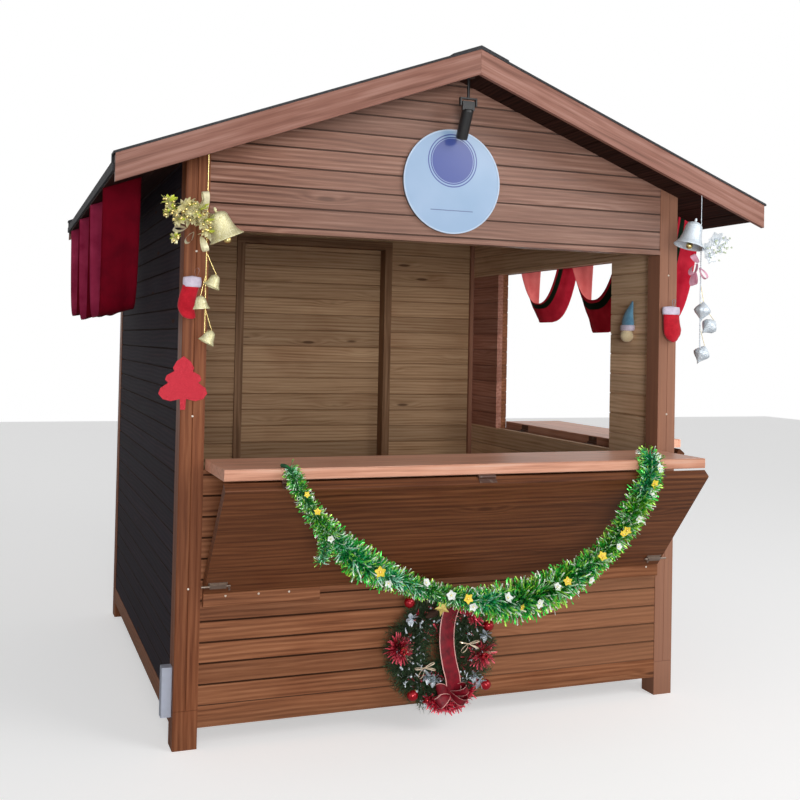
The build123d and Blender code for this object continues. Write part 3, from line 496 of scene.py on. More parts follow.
def glitterFinish(name, tones, grain, metal, rough):
    # small flakes, each turned and toned its own way
    finish, here = newFinish(name)
    flakes = put(finish.node_tree, "TexVoronoi", {"Vector": here, "Scale": grain}, out="Color")
    toned, dull, bumpy = flakes.parts("Color")[:3]
    return setShader(finish, {"Base Color": toned.ramp((0.0, 0.5, 0.95), tones),
                              "Roughness": dull * 0.35 + rough, "Metallic": metal}, (bumpy, 0.5, 0.0009))


felt = feltFinish()
zinc = metalFinish("zincPlate", (0.30, 0.24, 0.20), 0.5, 0.9, (0.16, 0.09, 0.05), 0.7)
blackSteel = metalFinish("blackLacquerSteel", (0.012, 0.012, 0.013), 0.4, 0.0, (0.03, 0.028, 0.026), 0.5)
brownPaint = metalFinish("brownPaintedSteel", (0.075, 0.030, 0.018), 0.5, 0.0, (0.30, 0.26, 0.22), 0.35)
finishOf(["roofing_left", "roofing_right", "verge_felt", "ridge_cap", "eave_drips"], felt)
finishOf(["leaf_bolts"], zinc)
finishOf(["sill_hinges", "fold_hinges"], brownPaint)
finishOf(["door_hinges", "door_handle", "door_straps", "lamp_rod", "lamp_head"], blackSteel)

# the round sign: places are hut millimetres across and up, radii metres
sign = {"centre": (1085, 2201), "roundel": (1085, 2287), "radius": 0.099, "thinRing": (0.0915, 0.0935),
        "wideRing": (0.1050, 0.1100), "lineUp": 2082, "lineHalf": 0.095, "rim": 0.209,
        "paint": ((0.27, 0.41, 0.60), (0.34, 0.47, 0.66)), "blue": (0.055, 0.085, 0.32),
        "pale": (0.36, 0.48, 0.68), "lineTone": (0.10, 0.14, 0.30), "edge": (0.46, 0.58, 0.74),
        "back": (0.010, 0.014, 0.035)}


def signFinish():
    # pale enamel face with a blue roundel, all from rings round two centres
    finish, here = newFinish("signEnamel")
    x, y, z = here.parts()

    def away(across, up):
        point = hut(across, 0, up)
        dx, dz = x - point.x, z - point.z
        return (dx * dx + dz * dz).calc("SQRT")

    def ring(low, high, blur=0.0006):
        return fromRoundel.fade(low - blur, low + blur) * fromRoundel.fade(high + blur, high - blur)

    fromMiddle, fromRoundel = away(*sign["centre"]), away(*sign["roundel"])
    face = here.noise(6.0).ramp((0.2, 0.8), sign["paint"])
    face = mixTone(fromRoundel.fade(sign["radius"] + 0.0006, sign["radius"] - 0.0006), face, sign["blue"])
    face = mixTone(ring(*sign["thinRing"]), face, sign["pale"])
    face = mixTone(ring(*sign["wideRing"]), face, sign["blue"])
    line = abs(z - hut(0, 0, sign["lineUp"]).z).fade(0.0022, 0.0012) * abs(
        x - hut(sign["centre"][0], 0, 0).x).fade(sign["lineHalf"] + 0.001, sign["lineHalf"] - 0.001)
    face = mixTone(line, face, sign["lineTone"])
    face = mixTone(fromMiddle.fade(sign["rim"] - 0.0005, sign["rim"] + 0.0005), face, sign["edge"])
    face = mixTone(y.fade(hut(0, -10, 0).y, hut(0, -6, 0).y), face, sign["back"])
    return setShader(finish, {"Base Color": face, "Roughness": 0.3, "Coat Weight": 0.4,
                              "Coat Roughness": 0.12}, (here.noise(60.0), 0.05, 0.0005))


def boxFinish():
    # grey white plastic, grimy in places
    finish, here = newFinish("whiteBoxPlastic")
    grime = here.noise(18.0, 4.0, 0.6).fade(0.45, 0.8)
    return setShader(finish, {"Base Color": mixTone(grime * 0.35, (0.40, 0.43, 0.52), (0.24, 0.2408, 0.26)),
                              "Roughness": grime * 0.25 + 0.45}, (here.noise(900.0, 1.0), 0.08, 0.0003))


finishOf(["sign_disc"], signFinish())
finishOf(["post_box"], boxFinish())
redGlitter = glitterFinish("redGlitter", [(0.30, 0.002, 0.012), (0.60, 0.010, 0.034), (0.86, 0.07, 0.10)],
                           1500.0, 0.1, 0.6)
goldGlitter = glitterFinish("goldGlitter", [(0.42, 0.36, 0.13), (0.72, 0.66, 0.34), (0.95, 0.93, 0.72)],
                            760.0, 0.55, 0.3)
silverGlitter = glitterFinish("silverGlitter", [(0.40, 0.48, 0.55), (0.68, 0.76, 0.84), (0.95, 0.98, 1.0)],
                              760.0, 0.5, 0.3)
finishOf(["tree_plaque"], redGlitter)
print("metal, felt, sign and glitter finished")


# new pieces: small shared helpers
def newForm():
    form = bmesh.new()
    form.loops.layers.uv.new("UVMap")
    return form


def newGrid(xSteps, ySteps):
    # a flat grid a metre square, its UVs laid, to be bent into shape
    form = newForm()
    bmesh.ops.create_grid(form, x_segments=xSteps, y_segments=ySteps, size=0.5, calc_uvs=True)
    return form


def newPiece(name, form, finishes, stands=()):
    data = bpy.data.meshes.new(name)
    form.to_mesh(data)
    form.free()
    for finish in finishes:
        data.materials.append(finish)
    piece = bpy.data.objects.new(name, data)
    bpy.context.scene.collection.objects.link(piece)
    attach(piece, "hut")
    if stands:
        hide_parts(*stands)
    return piece


def stampOf(form, finishIndex=None, smooth=True):
    # a mesh to press into pieces; with no index given its faces keep their own
    for face in form.faces:
        face.smooth = smooth
        if finishIndex is not None:
            face.material_index = finishIndex
    stamp = bpy.data.meshes.new("stamp")
    form.to_mesh(stamp)
    form.free()
    return stamp


def press(form, stamp, place):
    copy = stamp.copy()
    copy.transform(place)
    form.from_mesh(copy)
    bpy.data.meshes.remove(copy)


def turned(angle, axis):
    return Matrix.Rotation(angle, 4, axis)


def aim(place, out, roll=0.0, size=1.0):
    # z runs along out, then a turn about it
    turn = out.normalized().to_track_quat("Z", "Y").to_matrix().to_4x4()
    return Matrix.Translation(place) @ turn @ turned(roll, "Z") @ Matrix.Diagonal((size, size, size, 1))


def towards(out, up="Z"):
    # x runs along out
    return out.normalized().to_track_quat("X", up).to_matrix().to_4x4()


def spoke(angle, y=0.0):
    return Vector((math.cos(angle), y, math.sin(angle)))


def stripStamp(wide, long, steps, shape, finishIndex=0):
    # a strip up +z, its width, bow and twist given by shape(t)
    form = newGrid(1, steps)
    for v in form.verts:
        t = v.co.y + 0.5
        width, bow, twist = shape(t)
        side = v.co.x * wide * width
        v.co = (side * math.cos(twist), bow + side * math.sin(twist), t * long)
    return stampOf(form, finishIndex)


def foilFinish(name, base, tip, shift, rough, metal):
    # strip foil: base to tip along the strip, the paler tip a painted highlight, with a shift of tone along
    # the garland
    finish, here = newFinish(name)
    speck = here.noise(90.0, 1.0)
    body = mixTone(here.noise(3.3, 1.0).fade(0.42, 0.6), base, shift)
    shades = mixTone(uvParts(finish)[1].fade(0.5, 1.0), body, tip).scale(speck * 1.3 + 0.35)
    return setShader(finish, {"Base Color": shades, "Roughness": speck * 0.3 + (rough - 0.1),
                              "Metallic": metal})


# tinsel round the garland, with a loose tail; over the wreath it is raised and thinner
tinsel = {"strips": 6600, "long": 0.056, "wide": 0.0072, "core": 0.005, "seed": 11, "begin": 0.025,
          "wreathAt": 0.39, "wreathHalf": 0.14, "raised": 0.026, "thinned": 0.36,
          "tail": [(437, -405, 880), (452, -416, 850), (448, -420, 805), (436, -420, 762)]}
foilGreen = foilFinish("greenFoil", (0.006, 0.17, 0.016), (0.050, 0.60, 0.060), (0.004, 0.22, 0.070),
                       0.22, 0.4)
foilLime = foilFinish("limeFoil", (0.10, 0.42, 0.012), (0.55, 0.95, 0.12), (0.03, 0.52, 0.20), 0.22, 0.3)
# painted highlight: pale foil with near-white tips stands in for the tinsel's glints
foilWhite = foilFinish("whiteSparkleFoil", (0.44, 0.86, 0.46), (0.98, 1.0, 0.90), (0.40, 0.92, 0.70), 0.24, 0.12)
coreGreen = foilFinish("coreGreen", (0.006, 0.075, 0.020), (0.012, 0.110, 0.036), (0.004, 0.090, 0.040),
                       0.7, 0.0)
# what the strips lie on, in hut millimetres: the counter, the leaning leaf with its foot and the way
# out of its face, and the wall
lie = {"edge": 353, "counterUnder": 1035, "counterTop": 1084, "leafTop": 1040, "foot": (25, 582),
       "faceOut": (0.774, 0.6333), "leafDepth": 90, "gap": 4, "wall": 6}


def clearOfLeaf(point):
    # strips lie on the counter and on the leaning leaf instead of passing into them
    local = (point - hutCorner) * 1000
    reachOut, high = -local.y, local.z
    if reachOut < lie["edge"] and high > lie["counterUnder"]:
        high = max(high, lie["counterTop"])
    if high < lie["leafTop"]:
        (footOut, footUp), (out, down) = lie["foot"], lie["faceOut"]
        gap = (reachOut - footOut) * out - (high - footUp) * down
        if -lie["leafDepth"] < gap < lie["gap"]:
            reachOut += (lie["gap"] - gap) * out
            high -= (lie["gap"] - gap) * down
        reachOut = max(reachOut, lie["wall"])
    return hut(local.x, -reachOut, high)


def overWreath(share):
    # how far the garland is drawn up and thinned over the top of the wreath, 0 to 1
    return max(0.0, 1 - ((share - tinsel["wreathAt"]) / tinsel["wreathHalf"]) ** 2)


def dressGarland():
    look = tinsel
    dice = random.Random(look["seed"])
    form = newForm()
    stamps = [stripStamp(look["wide"], look["long"], 3,
                         lambda t: (1 - 0.35 * t, bend * 0.05 * t * t, 2.4 * t), finishIndex)
              for finishIndex in (0, 1, 2) for bend in (0.2, 0.45)]
    track, tail = cordTrack(garlandCord), [hut(*place) for place in look["tail"]]
    whole, tailLong = trackLength(track), trackLength(tail)
    for k in range(look["strips"]):
        onTail = k % 14 == 0
        at = dice.random() * tailLong if onTail else dice.uniform(look["begin"], 1) * whole
        place, ahead = alongTrack(tail if onTail else track, at)
        side = ahead.orthogonal().normalized()
        side.rotate(Matrix.Rotation(dice.random() * math.tau, 3, ahead))
        out = (side + ahead * dice.uniform(-0.75, 0.75)).normalized()
        share = at / whole
        size = dice.uniform(0.72, 1.08) * (0.86 + 0.14 * math.sin(3 + at * 9))
        if onTail:
            size *= 0.62
        else:
            size *= 0.62 + 0.70 * math.sin(math.pi * share) ** 0.9 + 0.25 * share
            size *= 1 - look["thinned"] * overWreath(share)
            place = place + Vector((0, 0, look["raised"] * overWreath(share)))
        limeShare = 3 + 4 * max(0, share - 0.35)
        pick = dice.choices((0, 1, 2, 3, 4, 5), (6, 6, limeShare, limeShare, 3.0, 3.0))[0]
        press(form, stamps[pick], aim(place + out * look["core"], out, dice.random() * 6.3, size))
    for v in form.verts:
        v.co = clearOfLeaf(v.co)
    return newPiece("garland_tinsel", form, [foilGreen, foilLime, foilWhite])


garlandTinsel = dressGarland()
print("garland dressed")


def petalStamp(wide, long, cup, finishIndex=0, steps=4):
    # a pointed petal along +x from the middle, creased and cupped
    form = newGrid(steps, 2)
    for v in form.verts:
        t = v.co.x + 0.5
        broad = math.sin(math.pi * min(0.97, 0.08 + 0.92 * t ** 0.8)) ** 0.8
        v.co = (t * long, v.co.y * wide * broad, cup * long * t * t + abs(v.co.y) * wide * 0.24)
    return stampOf(form, finishIndex)


def flowerStamp(petal, count, bead, beadIndex):
    # petals turned round z with a bead in the middle
    form = newForm()
    for k in range(count):
        press(form, petal, turned(math.tau * k / count, "Z"))
    made = bmesh.ops.create_uvsphere(form, u_segments=8, v_segments=5, radius=bead,
                                     matrix=Matrix.Translation((0, 0, bead * 0.5)))
    for face in {f for v in made["verts"] for f in v.link_faces}:
        face.material_index = beadIndex
    return stampOf(form)


def petalFinish(name, tone, middle, rough=0.5, metal=0.0, spark=0.0):
    finish, here = newFinish(name)
    along, across = uvParts(finish)[:2]
    shades = mixTone(along.fade(0.35, 0.0), tone, middle)
    shades = mixTone(abs(across - 0.5).fade(0.08, 0.0) * 0.4, shades, middle)
    speck = here.noise(600.0, 1.0)
    return setShader(finish, {"Base Color": shades.scale(speck * (0.6 + spark) + (0.7 - spark / 2)),
                              "Roughness": rough, "Metallic": metal, "Sheen Weight": 0.2},
                     (speck, 0.3, 0.0005))


whitePetal = petalFinish("whitePetal", (0.80, 0.84, 0.80), (0.62, 0.70, 0.52))
yellowPetal = petalFinish("yellowPetal", (0.85, 0.66, 0.05), (0.80, 0.45, 0.03))
goldBead = metalFinish("goldBead", (0.85, 0.68, 0.28), 0.25, 1.0, (0.5, 0.35, 0.1), 0.2, 200.0)

# flowers: place along the garland as a share of it, and size in millimetres
garlandFlowers = {
    "white": [(0.16, 26), (0.30, 30), (0.36, 34), (0.425, 38), (0.47, 34), (0.52, 42), (0.585, 40),
              (0.63, 34), (0.70, 34), (0.78, 30), (0.86, 34), (0.905, 30), (0.955, 44), (0.985, 40)],
    "yellow": [(0.075, 24), (0.12, 28), (0.285, 42), (0.45, 40), (0.545, 28), (0.665, 36), (0.745, 40),
               (0.80, 28), (0.83, 36), (0.93, 40)], "seed": 4}


def flowerGarland():
    dice = random.Random(garlandFlowers["seed"])
    form = newForm()
    track = cordTrack(garlandCord)
    whole = trackLength(track)
    petals = {"white": petalStamp(0.5, 0.5, 0.25, 0), "yellow": petalStamp(0.42, 0.5, 0.2, 1)}
    for kind, petal in petals.items():
        flower = flowerStamp(petal, 5, 0.09, 2)
        for share, across in garlandFlowers[kind]:
            place, ahead = alongTrack(track, share * whole)
            out = Vector((dice.uniform(-0.45, 0.45), -1, dice.uniform(-0.3, 0.7))).normalized()
            lift = 0.034 + 0.036 * math.sin(math.pi * share) * (1 - 0.4 * overWreath(share))
            place = place + Vector((0, 0, tinsel["raised"] * overWreath(share)))
            press(form, flower, aim(place + out * lift, out, dice.random() * 6, across / 1000))
    return newPiece("garland_flowers", form, [whitePetal, yellowPetal, goldBead])


garlandBlooms = flowerGarland()
garlandCord.data.materials.append(coreGreen)


# bells: one big bell and three small ones to each string; outlines are (radius, height) pairs, those of
# the big bell and the small ones as shares of their size, and small gives level and sideways way
bells = {"high": 0.118, "wide": 0.064, "ribs": 26, "crownOff": 32, "y": -226, "sideways": 28.8,
         "curve": [(0.06, 0.02), (0.30, -0.01), (0.44, -0.06), (0.52, -0.16), (0.56, -0.34), (0.62, -0.56),
                   (0.72, -0.76), (0.86, -0.90), (1.0, -0.985), (1.0, -1.0)],
         "clapper": [(0.0, -0.03), (0.0025, -0.03), (0.0025, -0.085), (0.012, -0.094), (0.015, -0.104),
                     (0.010, -0.114), (0.0, -0.118)],
         "loop": [(0.0, 0.022), (0.004, 0.020), (0.006, 0.012), (0.004, 0.004), (0.006, -0.002)],
         "left": {"x": 42, "z": 1985, "tilt": 24, "squat": 0.84, "way": 1, "size": 0.030, "smallRibs": 0,
                  "small": [(1762, 1.3), (1686, -0.6), (1562, 0.9)],
                  "smallCurve": [(0.0, 0.06), (0.20, 0.02), (0.52, -0.2), (0.66, -0.6), (0.78, -1.1),
                                 (1.02, -1.5), (1.02, -1.54)]},
         "right": {"x": 2158, "z": 2072, "tilt": 16, "squat": 0.9, "way": -1, "size": 0.034, "smallRibs": 10,
                   "small": [(1733, 0.6), (1655, 2.6), (1545, 0.9)],
                   "smallCurve": [(0.0, 0.10), (0.10, 0.06), (0.14, 0.0), (0.42, -0.22), (0.86, -0.72),
                                  (1.0, -1.02), (0.86, -1.34), (0.44, -1.78), (0.16, -2.1), (0.0, -2.5)]}}


def spunStamp(profile, steps, finishIndex=0, ribs=0, depth=0.0, wall=0.0):
    # a profile of (radius, height) pairs turned about z
    form = bmesh.new()
    points = [form.verts.new((r, 0, h)) for r, h in profile]
    edges = [form.edges.new(pair) for pair in zip(points, points[1:])]
    bmesh.ops.spin(form, geom=points + edges, cent=(0, 0, 0), axis=(0, 0, 1), angle=math.tau, steps=steps,
                   use_merge=True)
    bmesh.ops.remove_doubles(form, verts=form.verts, dist=0.00001)
    bmesh.ops.recalc_face_normals(form, faces=form.faces)
    if ribs:
        for v in form.verts:
            share = 1 + depth * math.cos(math.atan2(v.co.y, v.co.x) * ribs)
            v.co.x *= share
            v.co.y *= share
    if wall:
        bmesh.ops.solidify(form, geom=form.faces, thickness=wall)
    return stampOf(form, finishIndex)


def beadStamp(shoulder, wide, high, finishIndex=0):
    profile = [(0.0, high), shoulder, (wide, 0.0), (shoulder[0], -shoulder[1]), (0.0, -high)]
    return spunStamp(profile, 8, finishIndex)


def makeBells():
    form = bmesh.new()
    for finishIndex, hand in enumerate(("left", "right")):
        look = bells[hand]
        crown = Matrix.Translation(hut(look["x"] + look["way"] * bells["crownOff"], bells["y"], look["z"])) \
            @ turned(-look["way"] * math.radians(look["tilt"]), "Y")
        curve = [(r * bells["wide"], h * bells["high"] * look["squat"]) for r, h in bells["curve"]]
        press(form, spunStamp(curve, 52, finishIndex, bells["ribs"], 0.012, -0.0015), crown)
        press(form, spunStamp(bells["clapper"], 16, 2), crown)
        press(form, spunStamp(bells["loop"], 14, finishIndex), crown)
        smallCurve = [(r * look["size"], h * look["size"]) for r, h in look["smallCurve"]]
        small = spunStamp(smallCurve, 30, finishIndex, look["smallRibs"], 0.05)
        for k, (level, way) in enumerate(look["small"]):
            place = hut(look["x"] + way * bells["sideways"], bells["y"], level)
            press(form, small, Matrix.Translation(place) @ turned(way * 0.3 + 0.1 * k, "Y"))
            # a thread from its top back to the string
            reach = Vector((-way * bells["sideways"] / 1000, 0, 0.080))
            press(form, spunStamp([(0.0011, 0.0), (0.0011, reach.length)], 8, 2), aim(place, reach))
    newPiece("hanging_bells", form, [goldGlitter, silverGlitter, goldBead], ["bells"])


makeBells()
print("bells hung")

# leaves, blooms, ribbon loops and beads tied to the strings; places are hut millimetres across and up
sprayLook = {
    "left": {"clumps": [(-98, 2012, 36), (-84, 1982, 32), (-66, 1948, 32), (-38, 1996, 46), (-20, 1962, 48),
                        (4, 1988, 50), (26, 1950, 42), (-76, 1886, 26), (-106, 1972, 22), (40, 1912, 36)],
             "loops": [(-34, 1922, 0.60, 3.3), (-8, 1910, 0.62, 4.1), (18, 1896, 0.7, 5.0),
                       (34, 1990, 0.8, 1.7)],
             "knot": (20, -234, 1968), "seed": 5},
    "right": {"blooms": [(2214, 2000, 66), (2188, 1932, 58), (2252, 1994, 46), (2166, 1966, 48),
                         (2232, 1960, 34)],
              "loops": [(2128, 1896, 0.85, 3.9), (2118, 1862, 0.85, 4.3), (2140, 1880, 0.7, 5.2),
                        (2136, 1902, 0.7, 2.6)],
              "knot": (2170, -232, 1960), "seed": 9}}
limeLeaf = petalFinish("limeLeaf", (0.55, 0.62, 0.06), (0.32, 0.38, 0.02), 0.35, 0.3)
frostPetal = petalFinish("frostPetal", (0.80, 0.84, 0.88), (0.55, 0.62, 0.70), 0.3, 0.25, 0.5)
goldRibbon = petalFinish("goldRibbon", (0.72, 0.66, 0.42), (0.5, 0.45, 0.25), 0.35, 0.2)
pinkRibbon = petalFinish("pinkRibbon", (0.85, 0.42, 0.56), (0.62, 0.22, 0.36), 0.4, 0.1)


def loopStamp(wide, long, fat, finishIndex=0):
    # a ribbon loop out along +x and back
    form = newGrid(14, 1)
    for v in form.verts:
        turn = (v.co.x + 0.5) * math.tau
        swell = math.sin(turn / 2)
        v.co = (long * 0.5 * (1 - math.cos(turn)), v.co.y * wide * (0.35 + 0.65 * swell),
                fat * math.sin(turn) * swell)
    return stampOf(form, finishIndex)


def tieLoops(form, loop, loops, y):
    for x, z, size, angle in loops:
        press(form, loop, Matrix.Translation(hut(x, y, z)) @ towards(spoke(angle, -0.35)) @ turned(0.5, "X")
              @ Matrix.Scale(size, 4))


def stalkTo(form, stalk, start, out, long):
    press(form, stalk, aim(start, out) @ Matrix.Diagonal((1, 1, long, 1)))


def makeLeftSpray():
    look = sprayLook["left"]
    dice = random.Random(look["seed"])
    form = newForm()
    leafy, lime = petalStamp(0.55, 1.0, -0.15, 0), petalStamp(0.60, 1.0, 0.2, 3, 3)
    bead = beadStamp((0.0038, 0.0034), 0.005, 0.005, 2)
    stalk = stripStamp(0.0024, 1.0, 3, lambda t: (1, 0, 0))
    knot = hut(*look["knot"])
    for x, z, size in look["clumps"]:
        middle = hut(x, dice.uniform(-252, -238), z)
        stalkTo(form, stalk, knot, middle - knot, (middle - knot).length)
        for k in range(15):
            out = spoke(k * evenTurn, -dice.uniform(0.1, 0.9))
            pick = lime if x < -70 and k % 3 == 0 or k % 8 == 0 else leafy
            press(form, pick, Matrix.Translation(middle) @ towards(out) @ turned(dice.uniform(-1, 1), "X")
                  @ Matrix.Scale(size / 1000 * dice.uniform(0.7, 1.0), 4))
        for k in range(4):
            out = Vector((dice.uniform(-1, 1), -0.6, dice.uniform(-1, 1))).normalized()
            press(form, bead, Matrix.Translation(middle + out * size * 0.0006))
    tieLoops(form, loopStamp(0.030, 0.085, 0.022, 1), look["loops"], -244)
    newPiece("spray_left", form, [goldGlitter, goldRibbon, goldBead, limeLeaf], ["sprays"])


def makeRightSpray():
    look = sprayLook["right"]
    dice = random.Random(look["seed"])
    form = newForm()
    petal = petalStamp(0.52, 0.62, 0.2, 0, 5)
    bead = beadStamp((0.0034, 0.003), 0.0045, 0.0045, 2)
    stalk = stripStamp(0.0022, 1.0, 3, lambda t: (1, 0, 0))
    knot = hut(*look["knot"])
    bloom = flowerStamp(petal, 6, 0.07, 2)
    for x, z, size in look["blooms"]:
        middle = hut(x, dice.uniform(-256, -242), z)
        facing = Vector((dice.uniform(-0.3, 0.3), -1, dice.uniform(-0.3, 0.2)))
        press(form, bloom, aim(middle, facing, dice.random() * 6, size / 1000))
        for k in range(5):
            out = (facing + Vector((dice.uniform(-0.7, 1.1), 0, dice.uniform(-0.8, 0.8)))).normalized()
            long = size * dice.uniform(0.0007, 0.0011)
            stalkTo(form, stalk, middle, out, long)
            press(form, bead, Matrix.Translation(middle + out * long))
        stalkTo(form, stalk, knot, middle - knot, (middle - knot).length)
    tieLoops(form, loopStamp(0.032, 0.080, 0.020, 1), look["loops"], -240)
    newPiece("spray_right", form, [frostPetal, pinkRibbon, whitePetal])


def beadChain(hand, finish, begin=0.23, apart=0.0078):
    form = bmesh.new()
    bead = beadStamp((0.0024, 0.0023), 0.0033, 0.0032)
    track = cordTrack(stringCords[hand])
    at, end = begin, trackLength(track) - 0.002
    while at < end:
        press(form, bead, Matrix.Translation(alongTrack(track, at)[0]))
        at += apart
    return newPiece("beads_" + hand, form, [finish])


makeLeftSpray()
makeRightSpray()
chains = [beadChain(hand, finish) for hand, finish in (("left", goldBead), ("right", silverGlitter))]
for (hand, line), chain in zip(bellLines.items(), chains):
    stringCords[hand].data.materials.append(chain.data.materials[0])
    hutCorner + Vector(line["points"][0])
print("sprays and beads on")


# cloth under the eaves, one strip to a side, pinned up in three loops; lengths are hut millimetres
swagLook = {"across": 12, "seed": 6, "start": 140, "thick": 0.0012,
            "left": {"loops": [(190, 758), (798, 1366), (1406, 1974)], "inner": 1645,
                     "outer": [1612, 1612, 1640], "reach": 143, "belly": 132, "bend": (7.0, 7.0),
                     "width": 0.148, "swept": 0},
            "right": {"loops": [(190, 632), (660, 1246), (1268, 1854)], "inner": 1783,
                      "outer": [1640, 1606, 1668], "reach": 120, "belly": 36, "bend": (2.3, 4.2),
                      "width": 0.17, "swept": 118}}


def clothFinish(name, dark, pale, stripe=None):
    # a stripe is its middle and its half width, as shares of the cloth's width
    finish, here = newFinish(name)
    shade = here.noise(12.0, 3.0)
    cloth = shade.ramp((0.25, 0.75), (dark, pale))
    if stripe:
        middle, half = stripe
        wander = here.noise(9.0, 1.0) * 0.03 + abs(uvParts(finish)[1] - middle)
        cloth = mixTone(wander.fade(half + 0.03, half + 0.01), cloth, (0.008, 0.022, 0.012))
    warp, weft = (put(finish.node_tree, "TexWave", {"Vector": here, "Scale": 260.0, "Distortion": 1.5},
                      {"bands_direction": way}, "Fac") for way in "XZ")
    return setShader(finish, {"Base Color": cloth, "Roughness": 0.75, "Specular IOR Level": 0.04},
                     (shade * 3.0 + warp * weft, 0.3, 0.001))


# one red cloth in lit and shaded copies: painted shade on the left strip's outer face, painted light on its
# inner face and on both faces of the right strip
swagCloths = {
    "left": [clothFinish("leftClothOuterShaded", (0.080, 0.0010, 0.006), (0.150, 0.0014, 0.009)),
             clothFinish("leftClothInnerLit", (0.240, 0.012, 0.045), (0.430, 0.040, 0.100), (0.5, 0.12))],
    "right": [clothFinish("rightClothOuterLit", (0.50, 0.008, 0.028), (0.80, 0.040, 0.075), (0.19, 0.09)),
              clothFinish("rightClothInnerLit", (0.80, 0.140, 0.140), (0.98, 0.260, 0.240))]}


def hangSwag(hand, side):
    look, own = swagLook, swagLook[hand]
    dice = random.Random(look["seed"] + side)
    # one row to each step round a loop
    rows = [(k, math.pi * s / 44) for k in range(3) for s in range(45)]
    form = newGrid(len(rows) - 1, look["across"])
    waves = [[dice.uniform(0, 6.3) for _ in range(2)] for k in range(3)]
    for v in form.verts:
        k, turn = rows[round((v.co.x + 0.5) * (len(rows) - 1))]
        t = v.co.y + 0.5
        near, far = own["loops"][k]
        share = math.cos(turn)
        bend = own["bend"][0] * (1 - t) + own["bend"][1] * t
        u = -math.copysign(abs(share) ** (2 / bend), share)
        # the cloth lies level across the eave at the pins and hangs steeper in the belly
        out = look["start"] + t * (own["belly"] + (own["reach"] - own["belly"]) * abs(share) ** 0.6)
        x = -out if side < 0 else 2200 + out
        top = soffitTop - roofSlope * abs(x - ridgeX) - 1.5
        low = own["inner"] * (1 - t) + own["outer"][k] * t
        drop = 1 - share ** 2
        free = min(1.0, drop * 1.6)
        fold = free * (4.5 * math.sin(t * 8 + waves[k][0] + 1.5 * u)
                       + 2.0 * math.sin(t * 17 + waves[k][1] - 2 * u))
        sweep = own["swept"] * t * max(0.0, u) ** 1.5 * (1 - 0.35 * drop)
        v.co = hut(x, (near + far) / 2 + u * ((far - near) / 2 + fold) - sweep,
                   top - (top - low) * drop - fold * (1 - abs(u)))
    form.normal_update()
    if sum(face.normal.z * face.calc_area() for face in form.faces) > 0:
        bmesh.ops.reverse_faces(form, faces=form.faces)
    for face in form.faces:
        face.smooth = True
    piece = newPiece("swag_cloth_" + hand, form, swagCloths[hand],
                     [f"swag_{hand}_front", f"swag_{hand}_rear"])
    cover = piece.modifiers.new("clothThickness", "SOLIDIFY")
    cover.thickness = look["thick"]
    cover.offset = 0
    cover.material_offset = 1


hangSwag("left", -1)
hangSwag("right", 1)
print("swags hung")


# wreath of needles on the front wall, with what is tied into it; places are hut millimetres across and up
wreath = {"x": 1050, "y": -50, "z": 303, "ring": 0.146, "twigs": 2050, "hole": 46, "seed": 21, "front": -118,
          "balls": [(892, 517, 21), (1237, 401, 22), (1229, 165, 22), (913, 153, 22), (1180, 190, 13),
                    (975, 128, 12)],
          "poms": [(862, 335, 64), (1212, 288, 70)],
          "star": (1018, 494, 34),
          "wireBows": [(953, 262, 0.5), (1141, 341, 0.25)],
          "silver": [(975, 221), (1000, 206), (1220, 366), (1198, 180), (1176, 205), (897, 454)],
          "cone": (957, 455), "scales": 60, "berries": 46, "berryReach": (0.10, 0.20),
          "glints": {"sparkle": 260, "foot": 300, "frost": 110, "ring": 260}, "pomStrips": 150,
          "ribbon": [(1078, 150), (1074, 205), (1054, 268), (1042, 345), (1046, 420), (1060, 478),
                     (1078, 516)],
          "ribbonWide": 0.064, "bow": (1060, 158), "bowAngles": (2.75, 0.3, 3.6, -0.5),
          "tails": [[(1058, 150), (1040, 122), (1034, 92)], [(1064, 150), (1092, 128), (1106, 104)]],
          "sparkle": [(1062, 505), (1100, 500), (1140, 476), (1176, 438)],
          "foot": [(975, 140), (1010, 112), (1060, 100), (1110, 112), (1150, 150)]}
needleGreen = foilFinish("needleGreen", (0.016, 0.034, 0.012), (0.050, 0.120, 0.042), (0.050, 0.050, 0.022),
                         0.6, 0.0)
twigBrown = metalFinish("twigBrown", (0.060, 0.026, 0.014), 0.8, 0.0, (0.02, 0.03, 0.012), 0.6, 60.0)
redBall = metalFinish("redBallGloss", (0.36, 0.002, 0.010), 0.16, 0.35, (0.22, 0.001, 0.006), 0.5, 20.0)
redFoil = foilFinish("redFoil", (0.34, 0.004, 0.020), (0.95, 0.14, 0.20), (0.52, 0.012, 0.045), 0.24, 0.35)
starGold = metalFinish("starGold", (0.90, 0.74, 0.22), 0.32, 0.6, (0.75, 0.5, 0.1), 0.3, 90.0)
ribbonEdge = metalFinish("ribbonEdgeGilt", (0.85, 0.70, 0.52), 0.28, 0.5, (0.6, 0.4, 0.2), 0.2, 120.0)


def velvetFinish():
    # dark red ribbon, with a painted sheen: a thin pale line along each edge
    finish, here = newFinish("redVelvetRibbon")
    side = abs(uvParts(finish)[1] - 0.5)
    nap = here.noise(40.0, 3.0)
    red = nap.ramp((0.3, 0.7), ((0.085, 0.001, 0.006), (0.26, 0.004, 0.016)))
    return setShader(finish, {"Base Color": mixTone(side.fade(0.43, 0.46), red, (0.80, 0.42, 0.38)),
                              "Roughness": 0.5, "Specular IOR Level": 0.3},
                     (nap * 2.0 + here.noise(1400.0, 1.0), 0.3, 0.0008))


velvet = velvetFinish()


